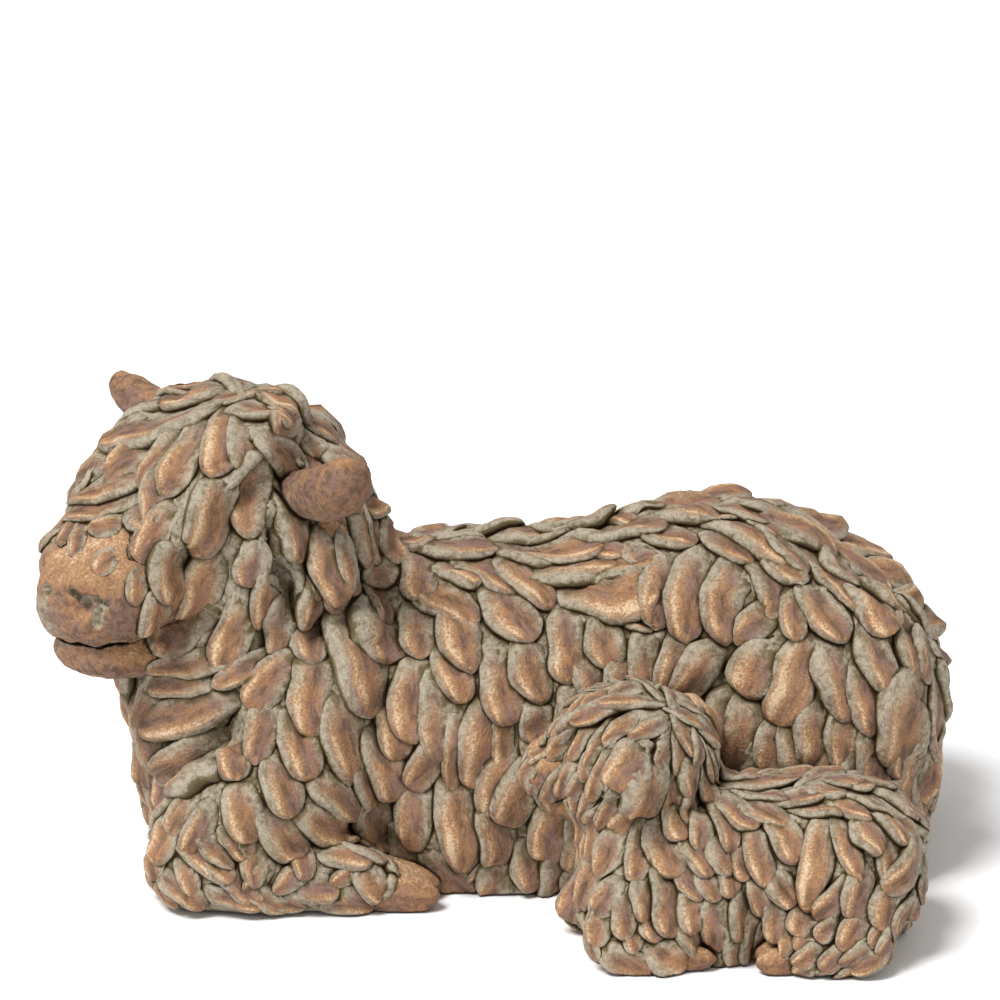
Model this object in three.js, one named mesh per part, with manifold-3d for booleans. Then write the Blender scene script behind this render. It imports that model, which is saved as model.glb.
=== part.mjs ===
// A shaggy long-haired cow lying down, with its calf against its near flank, as a free-standing ornament.
// Millimetres, +Z up. The animals face -X, their left side is -Y, and the ground is z = 0.
// Each mass of a body is a rounded form along a spine, and most are covered with leaf-shaped locks of hair.
import * as THREE from "three";
import Module from "manifold-3d";

const wasm = await Module();
wasm.setup();

// Clearance between pieces that touch.
const SEAM = 0.3;

// The cow's sizes. Places are measured from the middle of its barrel on the ground.
const COW = {
  name: "cow",
  stands: { x: 0, y: 0 },
  barrel: { chestX: -150, rumpX: 208, axis: 76, chestWidth: 124, ribWidth: 174, rumpWidth: 168,
    withersHeight: 148, backHeight: 152, hipHeight: 173, tailHeight: 146, sunk: 110 },
  quarters: ["left", "right"],
  haunch: { x: 154, length: 122, top: 144, set: 50, topSet: 32, bulge: 44 },
  shoulder: { x: -80, length: 108, top: 146, set: 54, topSet: 34, bulge: 35 },
  neck: { x: -130, chestX: -106, napeX: -100, y: -6, width: 132, front: 48, back: 52, top: 192 },
  head: { x: -121, y: -14, z: 160, turn: 36, width: 132, face: 58, poll: 57, height: 130 },
  muzzle: { start: 30, reach: 110, drop: 18, width: 74, above: 30, below: 24, nostril: 7, nostrilSet: 18 },
  jaw: { start: 26, reach: 102, drop: 42, width: 56, depth: 26 },
  horn: { base: 36, span: 206, sweep: 4, rise: 43, tipRise: 51, baseRadius: 17, tipRadius: 13 },
  ear: { root: 48, tip: 78, back: 4, rise: 22, droop: 14, arch: 4, width: 32, thick: 13 },
  forelock: { length: 64, width: 23, height: 8, spread: 94, fall: 72, back: 28, thick: 8, overhang: 24 },
  foreleg: { sides: ["left", "right"], set: 98, elbowX: -60, elbowSet: 72, elbowZ: 62, kneeX: -150,
    hoofX: -48, forearmRadius: 29, shankRadius: 18, hoofLength: 24 },
  hindleg: { sides: ["right"], set: 96, hockX: 164, hoofX: 74, shankRadius: 19, hoofLength: 30 },
  tail: { x: 208, root: 130, tip: 22, sweep: 28, radius: 9 },
  lock: { length: 57, width: 27, height: 9 },
  legLock: { length: 44, width: 21, height: 6 },
};

// The calf's sizes, with places measured from the middle of its own barrel on the ground.
const CALF = {
  name: "calf",
  stands: { x: 135, y: -138 },
  barrel: { chestX: -70, rumpX: 70, axis: 42, chestWidth: 66, ribWidth: 86, rumpWidth: 80,
    withersHeight: 74, backHeight: 75, hipHeight: 78, tailHeight: 70, sunk: 22 },
  quarters: ["left"],
  haunch: { x: 36, length: 58, top: 72, set: 30, topSet: 20, bulge: 21 },
  shoulder: { x: -36, length: 54, top: 70, set: 29, topSet: 19, bulge: 19 },
  neck: { x: -63, chestX: -68, napeX: -54, y: 0, width: 62, front: 26, back: 30, top: 94 },
  head: { x: -66, y: 6, z: 84, turn: -24, width: 76, face: 36, poll: 36, height: 66 },
  muzzle: { start: 12, reach: 56, drop: 13, width: 42, above: 18, below: 13, nostril: 4, nostrilSet: 9 },
  jaw: { start: 10, reach: 42, drop: 24, width: 30, depth: 15 },
  ear: { root: 18, tip: 48, back: 10, rise: 11, droop: -5, arch: 0, width: 38, thick: 36 },
  forelock: { length: 38, width: 15, height: 5, spread: 50, fall: 30, back: 14, thick: 4, overhang: 4 },
  foreleg: { sides: ["left", "right"], set: 42, elbowX: -42, elbowSet: 28, elbowZ: 34, kneeX: -78,
    hoofX: -42, forearmRadius: 16, shankRadius: 13, hoofLength: 13 },
  hindleg: { sides: ["left"], set: 47, hockX: 42, hoofX: 2, shankRadius: 13, hoofLength: 14 },
  tail: { x: 63, root: 54, tip: 14, sweep: -14, radius: 5 },
  lock: { length: 40, width: 20, height: 5.5 },
  legLock: { length: 30, width: 15, height: 4 },
};

// How the half size of a form changes along its spine, as shares at the start, the middle and the end.
const TAPER = {
  none: [1, 1, 1],
  snout: [1, 1, 0.9],
  fringe: [0.83, 1, 0.91],
  skull: [1, 1, 0.93],
  shank: [1.2, 1, 0.9],
  shankBelow: [1.5, 1.3, 1.3],
  throat: [0.9, 1, 1],
  quarter: [1, 1, 0.9],
  tuft: [1, 1, 1.5],
};
// One claw of a foot, in shares of the leg's radius.
const CLAW = { apart: 0.4, splay: 0.46, sink: 0.1,
  across: [0.52, 0.5], above: [0.8, 0.6], below: [1.2, 1.2] };
// Where the brow of the forelock stands, in shares of the face and of the crown.
const BROW = { forward: 0.62, rise: 0.78 };
// The pad of the forelock reaches further down into the skull than it stands above it.
const PAD_ROOT = 1.6;
// Where a neck, shoulder or haunch is widest and how deep it is sunk in the ground, as shares of its height,
// and how far its foot stands out.
const WIDEST = 0.5;
const SUNK = 0.3;
const FOOT_OUT = 1.1;
// Heights on a folded foreleg, in shares of its shank's radius, and how far the forearm arches.
const ANKLE_RISE = 0.8;
const FOREARM_END = 1.8;
const FOREARM_ARCH = 4;

// The finish of the hair and of the bare pieces.
const COAT = { color: 0x8a6a4c, roughness: 0.55, metalness: 0.35 };
const BARE = { color: 0xa97a4a, roughness: 0.5, metalness: 0.45 };

// A lock rises along its middle: shares of its length and of its height.
const LEAF_BACK = { at: 0.36, high: 0.72 };
const LEAF_CREST = { at: 0.78, high: 1 };
// How far locks differ from each other, as shares of their spacing and height, and what scatters them.
const UNEVEN = { place: 0.13, height: 0.25 };
const SCATTER = { pitch: 12.9898, spread: 43758.5453 };
// The side of the block of ground that cuts the figure off flat.
const GROUND = 2000;
// Columns that close a form where it carries no locks, and the fewest columns and courses of locks.
const PLAIN_COLUMNS = 4;
const FEWEST = { columns: 3, courses: 4 };
// Points along a form at which its length is measured.
const MEASURES = 64;
const NUDGE = 1e-3;
// The sharpest edge, as the cosine of half its turn, that is grown to its full clearance.
const SHARPEST = 0.2;
// A corner moves out in a direction that is turned step by step towards the face that it would serve least.
const EVENING_ROUNDS = 40;
const EVENING_STEP = 0.15;
const EVEN_ENOUGH = 0.6;

// The angles of a form that face outward, and how far round it the locks of a shoulder or haunch lean back.
const UPPER_SIDE = { start: -0.4, end: Math.PI + 0.4 };
const TO_THE_GROUND = { start: -0.75, end: Math.PI + 0.75 };
const LEAN = -0.5;

const UP = new THREE.Vector3(0, 0, 1);
const SIDES = ["left", "right"];
const OUTWARD = { left: -1, right: 1 };

const vector = (x, y, z) => new THREE.Vector3(x, y, z);
const mean = (one, other) => (one + other) / 2;
const tapered = (size, shares) => shares.map((share) => size * share);

// A steady scatter between -1 and 1, so that no two locks are quite alike.
function scatter(seed) {
  const wave = Math.sin(seed * SCATTER.pitch) * SCATTER.spread;
  return 2 * (wave - Math.floor(wave)) - 1;
}

// The points moved outward so that every face of the closed surface moves out by `grow`.
function swollen(points, triangles, grow) {
  const faces = triangles.map(([a, b, c]) => new THREE.Triangle(points[a], points[b], points[c]));
  const normals = faces.map((face) => face.getNormal(vector()));
  const around = points.map(() => []);
  triangles.forEach((corners, face) => corners.forEach((corner) => around[corner].push(normals[face])));
  return points.map((point, corner) => {
    const outward = around[corner].reduce((sum, normal) => sum.add(normal), vector()).normalize();
    const lesser = (one, other) => (other.dot(outward) < one.dot(outward) ? other : one);
    const worst = () => around[corner].reduce(lesser);
    for (let round = 0; round < EVENING_ROUNDS && worst().dot(outward) < EVEN_ENOUGH; round += 1) {
      outward.addScaledVector(worst(), EVENING_STEP).normalize();
    }
    return point.clone().addScaledVector(outward, grow / Math.max(worst().dot(outward), SHARPEST));
  });
}

// A closed surface as a solid, grown all round.
function solidFrom({ points, triangles }, grow) {
  const build = (corners, faces) => new wasm.Manifold(new wasm.Mesh({
    numProp: 3,
    vertProperties: new Float32Array(corners.flatMap((corner) => corner.toArray())),
    triVerts: new Uint32Array(faces.flat()),
  }));
  const solid = build(points, triangles);
  const faces = solid.volume() > 0 ? triangles : triangles.map(([a, b, c]) => [a, c, b]);
  return build(grow === 0 ? points : swollen(points, faces, grow), faces);
}

// A rounded form along a spine. Its half sizes across, above and below are given at the spine's points,
// `blunt` squares off its two ends, and `up` says which way is above.
class Form {
  constructor({ spine, across, above, below, up, blunt = 2.4, steps = 7, sides = 12 }) {
    this.path = new THREE.CatmullRomCurve3(spine);
    this.girth = new THREE.CatmullRomCurve3(
      across.map((wide, place) => vector(wide, above[place], below[place])));
    this.up = up;
    this.blunt = blunt;
    this.steps = steps;
    this.sides = sides;
  }

  // The point of the surface at a share of the spine and an angle round it.
  point(share, angle) {
    const along = this.path.getTangent(share);
    const side = vector().crossVectors(along, this.up).normalize();
    const rise = vector().crossVectors(side, along);
    const girth = this.girth.getPoint(share);
    const rounding = (1 - Math.abs(2 * share - 1) ** this.blunt) ** (1 / this.blunt);
    const height = Math.sin(angle) > 0 ? girth.y : girth.z;
    return this.path.getPoint(share)
      .addScaledVector(side, Math.cos(angle) * girth.x * rounding)
      .addScaledVector(rise, Math.sin(angle) * height * rounding);
  }

  // The same point raised off the surface along its normal.
  raised(share, angle, lift) {
    const here = THREE.MathUtils.clamp(share, NUDGE, 1 - 2 * NUDGE);
    const origin = this.point(here, angle);
    const bySpine = this.point(here + NUDGE, angle).sub(origin);
    const byAngle = this.point(here, angle + NUDGE).sub(origin);
    const normal = vector().crossVectors(byAngle, bySpine).normalize();
    if (normal.dot(vector().subVectors(origin, this.path.getPoint(here))) < 0) {
      normal.negate();
    }
    return origin.addScaledVector(normal, lift);
  }

  // Whether a point lies inside the form.
  holds(point) {
    for (let step = 1; step < MEASURES; step += 1) {
      const share = step / MEASURES;
      const offset = point.clone().sub(this.path.getPoint(share));
      const along = this.path.getTangent(share);
      if (Math.abs(offset.dot(along)) > this.path.getLength() / MEASURES) {
        continue;
      }
      const side = vector().crossVectors(along, this.up).normalize();
      const angle = Math.atan2(offset.dot(vector().crossVectors(side, along)), offset.dot(side));
      if (offset.length() < this.point(share, angle).distanceTo(this.path.getPoint(share))) {
        return true;
      }
    }
    return false;
  }

  ends() {
    return [this.path.getPoint(0), this.path.getPoint(1)];
  }

  // The bare form as rings of points between its two ends.
  smooth() {
    const points = this.ends();
    const triangles = [];
    const corner = (ring, place) => 2 + (ring - 1) * this.sides + (place % this.sides);
    for (let ring = 1; ring < this.steps; ring += 1) {
      const share = (1 - Math.cos(Math.PI * ring / this.steps)) / 2;
      for (let place = 0; place < this.sides; place += 1) {
        points.push(this.point(share, 2 * Math.PI * place / this.sides));
      }
    }
    for (let place = 0; place < this.sides; place += 1) {
      triangles.push([0, corner(1, place), corner(1, place + 1)]);
      for (let ring = 1; ring + 1 < this.steps; ring += 1) {
        triangles.push([corner(ring, place), corner(ring + 1, place), corner(ring, place + 1)]);
        triangles.push([corner(ring, place + 1), corner(ring + 1, place), corner(ring + 1, place + 1)]);
      }
      triangles.push([1, corner(this.steps - 1, place + 1), corner(this.steps - 1, place)]);
    }
    return { points, triangles };
  }

  // The lengths along the surface, at an angle, from the form's start to each of its measuring points.
  lengthsAlong(angle) {
    const lengths = [0];
    for (let step = 1; step <= MEASURES; step += 1) {
      const stride = this.point(step / MEASURES, angle).distanceTo(this.point((step - 1) / MEASURES, angle));
      lengths.push(lengths[step - 1] + stride);
    }
    return lengths;
  }

  // How far the surface stands from the middle of the spine at an angle.
  reach(angle) {
    return this.point(0.5, angle).distanceTo(this.path.getPoint(0.5));
  }

  // The form under locks in staggered courses. Each lock is a leaf that runs from its root, past its two
  // sides, to its tip, and swells along its middle to a crest just before the tip. It is left flat where
  // another mass hides it.
  shaggy({ length, width, height, start = 0, end = 2 * Math.PI, twist = 0, seed }, hidden) {
    const middle = mean(start, end);
    const girth = mean(this.reach(middle), this.reach(middle + Math.PI / 2)) * (end - start);
    const covered = Math.max(FEWEST.columns, Math.round(girth / width));
    const rest = 2 * Math.PI - (end - start);
    const columns = covered + (rest > NUDGE ? PLAIN_COLUMNS : 0);
    const angleAt = (column) => {
      const place = ((column % columns) + columns) % columns;
      const turns = 2 * Math.PI * Math.floor(column / columns);
      return turns + (place <= covered
        ? start + (end - start) * place / covered
        : end + rest * (place - covered) / PLAIN_COLUMNS);
    };
    // The courses divide the form into equal lengths. Each lock is two courses long.
    const lengths = this.lengthsAlong(middle);
    const rows = Math.max(FEWEST.courses, Math.round(2 * lengths[MEASURES] / length));
    const shareAt = (row) => {
      const target = lengths[MEASURES] * row / rows;
      const step = Math.max(1, lengths.findIndex((reached) => reached >= target - NUDGE));
      const part = (target - lengths[step - 1]) / (lengths[step] - lengths[step - 1]);
      return THREE.MathUtils.clamp((step - 1 + part) / MEASURES, 0, 1);
    };

    const points = this.ends();
    const triangles = [];
    const known = new Map();
    const spot = (row, column, lift) => {
      const share = shareAt(row);
      return this.raised(share, angleAt(column) + twist * (share - 0.5), lift);
    };
    const corner = (row, step) => {
      if (row === 0 || row === rows) {
        return row === 0 ? 0 : 1;
      }
      const place = ((step % (2 * columns)) + 2 * columns) % (2 * columns);
      const key = row * 2 * columns + place;
      if (!known.has(key)) {
        const shift = UNEVEN.place * scatter(seed + key);
        const slide = UNEVEN.place * scatter(seed + key + 0.5);
        known.set(key, points.length);
        points.push(spot(row + slide, place / 2 + shift, 0));
      }
      return known.get(key);
    };
    for (let row = 0; row + 2 <= rows; row += 1) {
      for (let step = row % 2; step < 2 * columns; step += 2) {
        const [root, tip] = [corner(row, step), corner(row + 2, step)];
        const [left, right] = [corner(row + 1, step - 1), corner(row + 1, step + 1)];
        const belly = spot(row + 1, step / 2, 0);
        if (step > 2 * covered || belly.z < 0 || hidden(belly)) {
          triangles.push([root, left, tip], [root, tip, right]);
          continue;
        }
        const rise = height * (1 + UNEVEN.height * scatter(seed + row * columns + step));
        const back = points.push(spot(row + 2 * LEAF_BACK.at, step / 2, rise * LEAF_BACK.high)) - 1;
        const crest = points.push(spot(row + 2 * LEAF_CREST.at, step / 2, rise * LEAF_CREST.high)) - 1;
        triangles.push([root, left, back], [back, left, crest], [crest, left, tip]);
        triangles.push([root, back, right], [back, crest, right], [crest, tip, right]);
      }
    }
    return { points, triangles };
  }
}

// What a piece is made of: its forms left bare, or one form under locks of hair.
const bare = (forms) => forms.map((form) => form.smooth());
const haired = (hair) => (forms, hidden) => forms.map((form) => form.shaggy(hair, hidden));

// Half sizes that are the same above, below and across.
const round = (radii) => ({ across: radii, above: radii, below: radii });

// A foot lies flat, cleft in two claws.
function claws(ankle, length, radius) {
  return [-1, 1].map((claw) => new Form({
    spine: [ankle.clone().add(vector(0, claw * radius * CLAW.apart, 0)),
      ankle.clone().add(vector(length, claw * radius * CLAW.splay, -radius * CLAW.sink))],
    across: tapered(radius, CLAW.across),
    above: tapered(radius, CLAW.above),
    below: tapered(radius, CLAW.below),
    up: UP, blunt: 2.6, steps: 4, sides: 6,
  }));
}

// The head's pieces, set out from its own middle: forward along the turned face, to the right, and up.
function headPieces(spec, place, add) {
  const { head, muzzle, jaw, horn, ear, forelock, lock } = spec;
  const turn = THREE.MathUtils.degToRad(head.turn);
  const ahead = vector(-Math.cos(turn), -Math.sin(turn), 0);
  const rightward = vector(-Math.sin(turn), Math.cos(turn), 0);
  const onHead = (forward, right, rise) => place(head.x, head.y, head.z + rise)
    .addScaledVector(ahead, forward).addScaledVector(rightward, right);

  for (const side of horn ? SIDES : []) {
    const tip = OUTWARD[side] * horn.span / 2;
    const base = OUTWARD[side] * horn.base;
    const form = new Form({
      spine: [onHead(0, base, horn.rise), onHead(horn.sweep / 2, mean(base, tip), horn.rise),
        onHead(horn.sweep, tip, horn.tipRise)],
      ...round([horn.baseRadius, mean(horn.baseRadius, horn.tipRadius), horn.tipRadius]), up: UP, blunt: 3,
    });
    add(`horn_${side}`, BARE, [form], bare);
  }

  for (const side of SIDES) {
    const root = OUTWARD[side] * ear.root;
    const tip = OUTWARD[side] * ear.tip;
    const form = new Form({
      spine: [onHead(-ear.back, root, ear.rise),
        onHead(-ear.back, mean(root, tip), mean(ear.rise, -ear.droop) + ear.arch),
        onHead(-ear.back, tip, -ear.droop)],
      across: tapered(ear.width / 2, TAPER.none),
      above: tapered(ear.thick / 2, TAPER.none),
      below: tapered(ear.thick / 2, TAPER.none),
      up: ahead.clone().addScaledVector(rightward, OUTWARD[side]), blunt: 2, sides: 10,
    });
    add(`ear_${side}`, COAT, [form], bare);
  }

  // The muzzle is bare, with two nostrils sunk in its front.
  const snout = new Form({
    spine: [onHead(muzzle.start, 0, 0), onHead(mean(muzzle.start, muzzle.reach), 0, -muzzle.drop / 2),
      onHead(muzzle.reach, 0, -muzzle.drop)],
    across: tapered(muzzle.width / 2, TAPER.snout),
    above: tapered(muzzle.above, TAPER.snout),
    below: tapered(muzzle.below, TAPER.none),
    up: UP, blunt: 3, steps: 8, sides: 14,
  });
  const nostrils = SIDES.map((side) => {
    const right = OUTWARD[side] * muzzle.nostrilSet;
    const rise = muzzle.nostril - muzzle.drop;
    return new Form({
      spine: [onHead(muzzle.reach - 2 * muzzle.nostril, right, rise), onHead(muzzle.reach, right, rise)],
      ...round([muzzle.nostril, muzzle.nostril]), up: UP, steps: 4, sides: 8,
    });
  });
  add("muzzle", BARE, [snout], bare, nostrils);

  const chin = new Form({
    spine: [onHead(jaw.start, 0, -jaw.drop), onHead(mean(jaw.start, jaw.reach), 0, -jaw.drop),
      onHead(jaw.reach, 0, -jaw.drop)],
    across: tapered(jaw.width / 2, TAPER.snout),
    above: tapered(jaw.depth / 2, TAPER.none),
    below: tapered(jaw.depth / 2, TAPER.none),
    up: UP, blunt: 2.6,
  });
  add("jaw", BARE, [chin], bare);

  // The forelock falls from the crown over the forehead, as a pad of long locks.
  const crown = head.height / 2;
  const fringe = new Form({
    spine: [onHead(-forelock.back, 0, crown + forelock.thick / 2),
      onHead(head.face * BROW.forward, 0, crown * BROW.rise),
      onHead(head.face + forelock.overhang, 0, crown - forelock.fall)],
    across: tapered(forelock.spread / 2, TAPER.fringe),
    above: tapered(forelock.thick, TAPER.none),
    below: tapered(forelock.thick * PAD_ROOT, TAPER.none),
    up: ahead.clone().add(UP), blunt: 2.6,
  });
  add("forelock", COAT, [fringe], haired({ ...forelock, ...UPPER_SIDE, seed: 200 }));

  // The skull stands on end, so that its locks hang from the crown over the face, cheeks and nape.
  const skull = new Form({
    spine: [onHead(0, 0, crown), onHead(0, 0, 0), onHead(0, 0, -crown)],
    across: tapered(head.width / 2, TAPER.skull),
    above: tapered(head.face, TAPER.skull),
    below: tapered(head.poll, TAPER.none),
    up: ahead, blunt: 2.2,
  });
  add("skull", COAT, [skull], haired({ ...lock, seed: 300 }));
}

// The folded legs lie on the ground, each with its hoof.
function legPieces(spec, place, add) {
  const { foreleg, hindleg, legLock } = spec;
  // A shank runs back from the joint and a little way over the hoof.
  const shankForm = (joint, ankle, radius) => {
    const end = ankle.clone().add(vector(Math.sign(ankle.x - joint.x) * radius / 2, 0, 0));
    return new Form({
      spine: [joint, joint.clone().lerp(end, 0.5), end],
      across: tapered(radius, TAPER.shank),
      above: tapered(radius, TAPER.shank),
      below: tapered(radius, TAPER.shankBelow),
      up: UP, blunt: 3,
    });
  };
  for (const side of foreleg.sides) {
    const y = OUTWARD[side] * foreleg.set;
    const radius = foreleg.shankRadius;
    const ankle = place(foreleg.hoofX, y, radius * ANKLE_RISE);
    add(`fore_hoof_${side}`, BARE, claws(ankle, foreleg.hoofLength, radius), bare);
    const shank = shankForm(place(foreleg.kneeX - radius, y, radius), ankle, radius);
    add(`shank_${side}`, COAT, [shank], haired({ ...legLock, ...UPPER_SIDE, seed: 500 }));
    const elbow = place(foreleg.elbowX, OUTWARD[side] * foreleg.elbowSet, foreleg.elbowZ);
    const knee = place(foreleg.kneeX - radius / 2, y, radius * FOREARM_END);
    const forearm = new Form({
      spine: [elbow, elbow.clone().lerp(knee, 0.5).addScaledVector(UP, FOREARM_ARCH), knee],
      ...round([foreleg.forearmRadius, foreleg.forearmRadius, radius]), up: UP, blunt: 2.6,
    });
    add(`forearm_${side}`, COAT, [forearm], haired({ ...legLock, seed: 600 }));
  }
  for (const side of hindleg.sides) {
    const y = OUTWARD[side] * hindleg.set;
    const radius = hindleg.shankRadius;
    const ankle = place(hindleg.hoofX, y, radius * ANKLE_RISE);
    add(`hind_hoof_${side}`, BARE, claws(ankle, -hindleg.hoofLength, radius), bare);
    const shank = shankForm(place(hindleg.hockX + radius, y, radius), ankle, radius);
    add(`hind_shank_${side}`, COAT, [shank], haired({ ...legLock, ...UPPER_SIDE, seed: 700 }));
  }
}

// The body's pieces: the neck with its mane, the shoulders and haunches, the tail and the barrel.
function bodyPieces(spec, place, add) {
  const { barrel, quarters, haunch, shoulder, neck, tail, lock, legLock } = spec;
  const throat = new Form({
    spine: [place(neck.napeX, neck.y, neck.top), place(neck.x, neck.y, neck.top * WIDEST),
      place(neck.chestX, neck.y / 2, -neck.top * SUNK)],
    across: tapered(neck.width / 2, TAPER.throat),
    above: tapered(neck.front, TAPER.throat),
    below: tapered(neck.back, TAPER.none),
    up: vector(-1, 0, 0), blunt: 3,
  });
  add("neck", COAT, [throat], haired({ ...lock, ...UPPER_SIDE, seed: 800 }));

  // A shoulder or haunch runs from its top beside the spine down the flank to the ground.
  const quarter = (name, side, seed, { x, length, top, set, topSet, bulge }) => {
    const out = OUTWARD[side];
    const form = new Form({
      spine: [place(x, out * topSet, top), place(x, out * set, top * WIDEST),
        place(x, out * set * FOOT_OUT, -top * SUNK)],
      across: tapered(length / 2, TAPER.quarter),
      above: tapered(bulge, TAPER.quarter),
      below: tapered(bulge, TAPER.none),
      up: vector(0, out, 0), blunt: 2.1,
    });
    add(`${name}_${side}`, COAT, [form], haired({ ...lock, ...UPPER_SIDE, twist: LEAN * out, seed }));
  };
  quarters.forEach((side) => quarter("shoulder", side, 900, shoulder));
  quarters.forEach((side) => quarter("haunch", side, 1100, haunch));

  const dock = new Form({
    spine: [place(tail.x - tail.radius, 0, tail.root),
      place(tail.x, tail.sweep / 2, mean(tail.root, tail.tip)),
      place(tail.x, tail.sweep, tail.tip)],
    across: tapered(tail.radius, TAPER.tuft),
    above: tapered(tail.radius, TAPER.tuft),
    below: tapered(tail.radius, TAPER.none),
    up: vector(1, 0, 0), blunt: 3,
  });
  add("tail", COAT, [dock], haired({ ...legLock, ...UPPER_SIDE, seed: 1300 }));

  // The barrel's back rises from the withers to the hip and falls away to the tail.
  const { withersHeight, backHeight, hipHeight, tailHeight, chestWidth, ribWidth, rumpWidth } = barrel;
  const backs = [withersHeight, backHeight, backHeight, hipHeight, tailHeight];
  const widths = [chestWidth, ribWidth, ribWidth, rumpWidth, rumpWidth];
  const along = (part) => THREE.MathUtils.lerp(barrel.chestX, barrel.rumpX, part);
  const trunk = new Form({
    spine: backs.map((back, station) => place(along(station / (backs.length - 1)), 0, barrel.axis)),
    across: widths.map((wide) => wide / 2),
    above: backs.map((back) => back - barrel.axis),
    below: backs.map(() => barrel.axis + barrel.sunk),
    up: UP, blunt: 3,
  });
  add("barrel", COAT, [trunk], haired({ ...lock, ...TO_THE_GROUND, seed: 1400 }));
}

// The pieces of one animal, in the order in which they are seated: each is cut to fit the ones before it.
function animal(spec) {
  const pieces = [];
  const place = (x, y, z) => vector(spec.stands.x + x, spec.stands.y + y, z);
  const add = (name, finish, forms, make, holes = []) => pieces.push(
    { name: `${spec.name}_${name}`, finish, forms, make, holes });
  headPieces(spec, place, add);
  legPieces(spec, place, add);
  bodyPieces(spec, place, add);
  return pieces;
}

// The ground cuts every piece off flat. It is a block with its top at z = 0.
function groundBlock(size) {
  const [near, far] = [-size / 2, size / 2];
  const points = [-size, 0].flatMap((z) => [[near, near], [far, near], [far, far], [near, far]]
    .map(([x, y]) => vector(x, y, z)));
  const triangles = [[0, 2, 1], [0, 3, 2], [4, 5, 6], [4, 6, 7]];
  for (let edge = 0; edge < 4; edge += 1) {
    const next = (edge + 1) % 4;
    triangles.push([edge, next, 4 + next], [edge, 4 + next, 4 + edge]);
  }
  return solidFrom({ points, triangles }, 0);
}

const boxesMeet = (one, other) => [0, 1, 2].every((axis) =>
  one.min[axis] < other.max[axis] && other.min[axis] < one.max[axis]);

const larger = (one, other) => (other.volume() > one.volume() ? other : one);
const largest = (solid) => solid.decompose().reduce(larger);

function meshOf(solid, name, finish) {
  const { vertProperties, triVerts } = solid.getMesh();
  const geometry = new THREE.BufferGeometry();
  geometry.setAttribute("position", new THREE.BufferAttribute(vertProperties, 3));
  geometry.setIndex(new THREE.BufferAttribute(triVerts, 1));
  geometry.computeVertexNormals();
  const mesh = new THREE.Mesh(geometry, new THREE.MeshStandardMaterial(finish));
  mesh.name = name;
  return mesh;
}

const figure = new THREE.Group();
const ground = groundBlock(GROUND);
const pieces = [...animal(COW), ...animal(CALF)];
const seated = [];
for (const { name, finish, forms, make, holes } of pieces) {
  const others = pieces.filter((piece) => piece.name !== name).flatMap((piece) => piece.forms);
  const hidden = (point) => others.some((form) => form.holds(point));
  const surfaces = make(forms, hidden);
  const grownBy = (grow) => surfaces.map((surface) => solidFrom(surface, grow))
    .reduce((sum, part) => sum.add(part));
  const drilled = holes.reduce((part, hole) => part.subtract(solidFrom(hole.smooth(), 0)), grownBy(0));
  let body = drilled.subtract(ground);
  const room = body.boundingBox();
  for (const { grown, box } of seated) {
    if (boxesMeet(room, box)) {
      body = body.subtract(grown);
    }
  }
  const grown = grownBy(SEAM);
  seated.push({ grown, box: grown.boundingBox() });
  figure.add(meshOf(largest(body), name, finish));
}

// The origin is on the ground under the middle of the whole figure.
const extent = new THREE.Box3().setFromObject(figure);
const centre = extent.getCenter(vector());
figure.position.set(-centre.x, -centre.y, -extent.min.z);

export default figure;
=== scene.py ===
# A shaggy cow lying down with its calf: the looks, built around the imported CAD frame.
import math
from collections import namedtuple

import bmesh
import bpy
import numpy as np
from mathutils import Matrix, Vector, noise
from mathutils.bvhtree import BVHTree


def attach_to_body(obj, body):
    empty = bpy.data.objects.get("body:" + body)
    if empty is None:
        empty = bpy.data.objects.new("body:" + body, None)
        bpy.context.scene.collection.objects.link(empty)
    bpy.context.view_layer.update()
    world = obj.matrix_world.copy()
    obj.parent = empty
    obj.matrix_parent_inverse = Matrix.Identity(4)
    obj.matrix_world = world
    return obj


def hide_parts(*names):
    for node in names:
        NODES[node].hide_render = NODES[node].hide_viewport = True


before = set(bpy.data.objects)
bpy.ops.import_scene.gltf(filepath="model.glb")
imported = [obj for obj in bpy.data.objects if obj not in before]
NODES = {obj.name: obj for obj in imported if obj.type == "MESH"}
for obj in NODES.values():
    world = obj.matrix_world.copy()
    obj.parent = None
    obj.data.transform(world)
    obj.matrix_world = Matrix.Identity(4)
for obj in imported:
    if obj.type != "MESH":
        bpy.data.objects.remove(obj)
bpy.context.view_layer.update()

MM = 0.001

# The photograph's camera. The figure's size in the picture fixes the scale.
IMAGE = 1000
PIXEL = 0.5 * MM
ELEVATION = math.radians(16.8)
DISTANCE = 3.0
SENSOR = 36.0
COW_STANDS = Vector((-3.1, 39.5, 0)) * MM
COW_STANDS_PX = (492, 835)
RIGHT = Vector((1, 0, 0))
UP = Vector((0, math.sin(ELEVATION), math.cos(ELEVATION)))
FORWARD = Vector((0, math.cos(ELEVATION), -math.sin(ELEVATION)))
TARGET = (COW_STANDS + RIGHT * (IMAGE / 2 - COW_STANDS_PX[0]) * PIXEL
          + UP * (COW_STANDS_PX[1] - IMAGE / 2) * PIXEL)
CAMERA = TARGET - FORWARD * DISTANCE

# A line of sight that misses a skin is searched this far before and behind the target.
SEARCH_REACH = 0.3
SEARCH_STEPS = 61

# The animals' own middle planes, in which the coat of the near side is mirrored.
CALF_STANDS = COW_STANDS + Vector((135, -138, 0)) * MM
COW_HEAD_PLACE = COW_STANDS + Vector((-121, -14, 160)) * MM
CALF_HEAD_PLACE = COW_STANDS + Vector((69, -132, 84)) * MM
COW_HEAD_TURN = math.radians(36)
CALF_HEAD_TURN = math.radians(-24)

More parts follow.
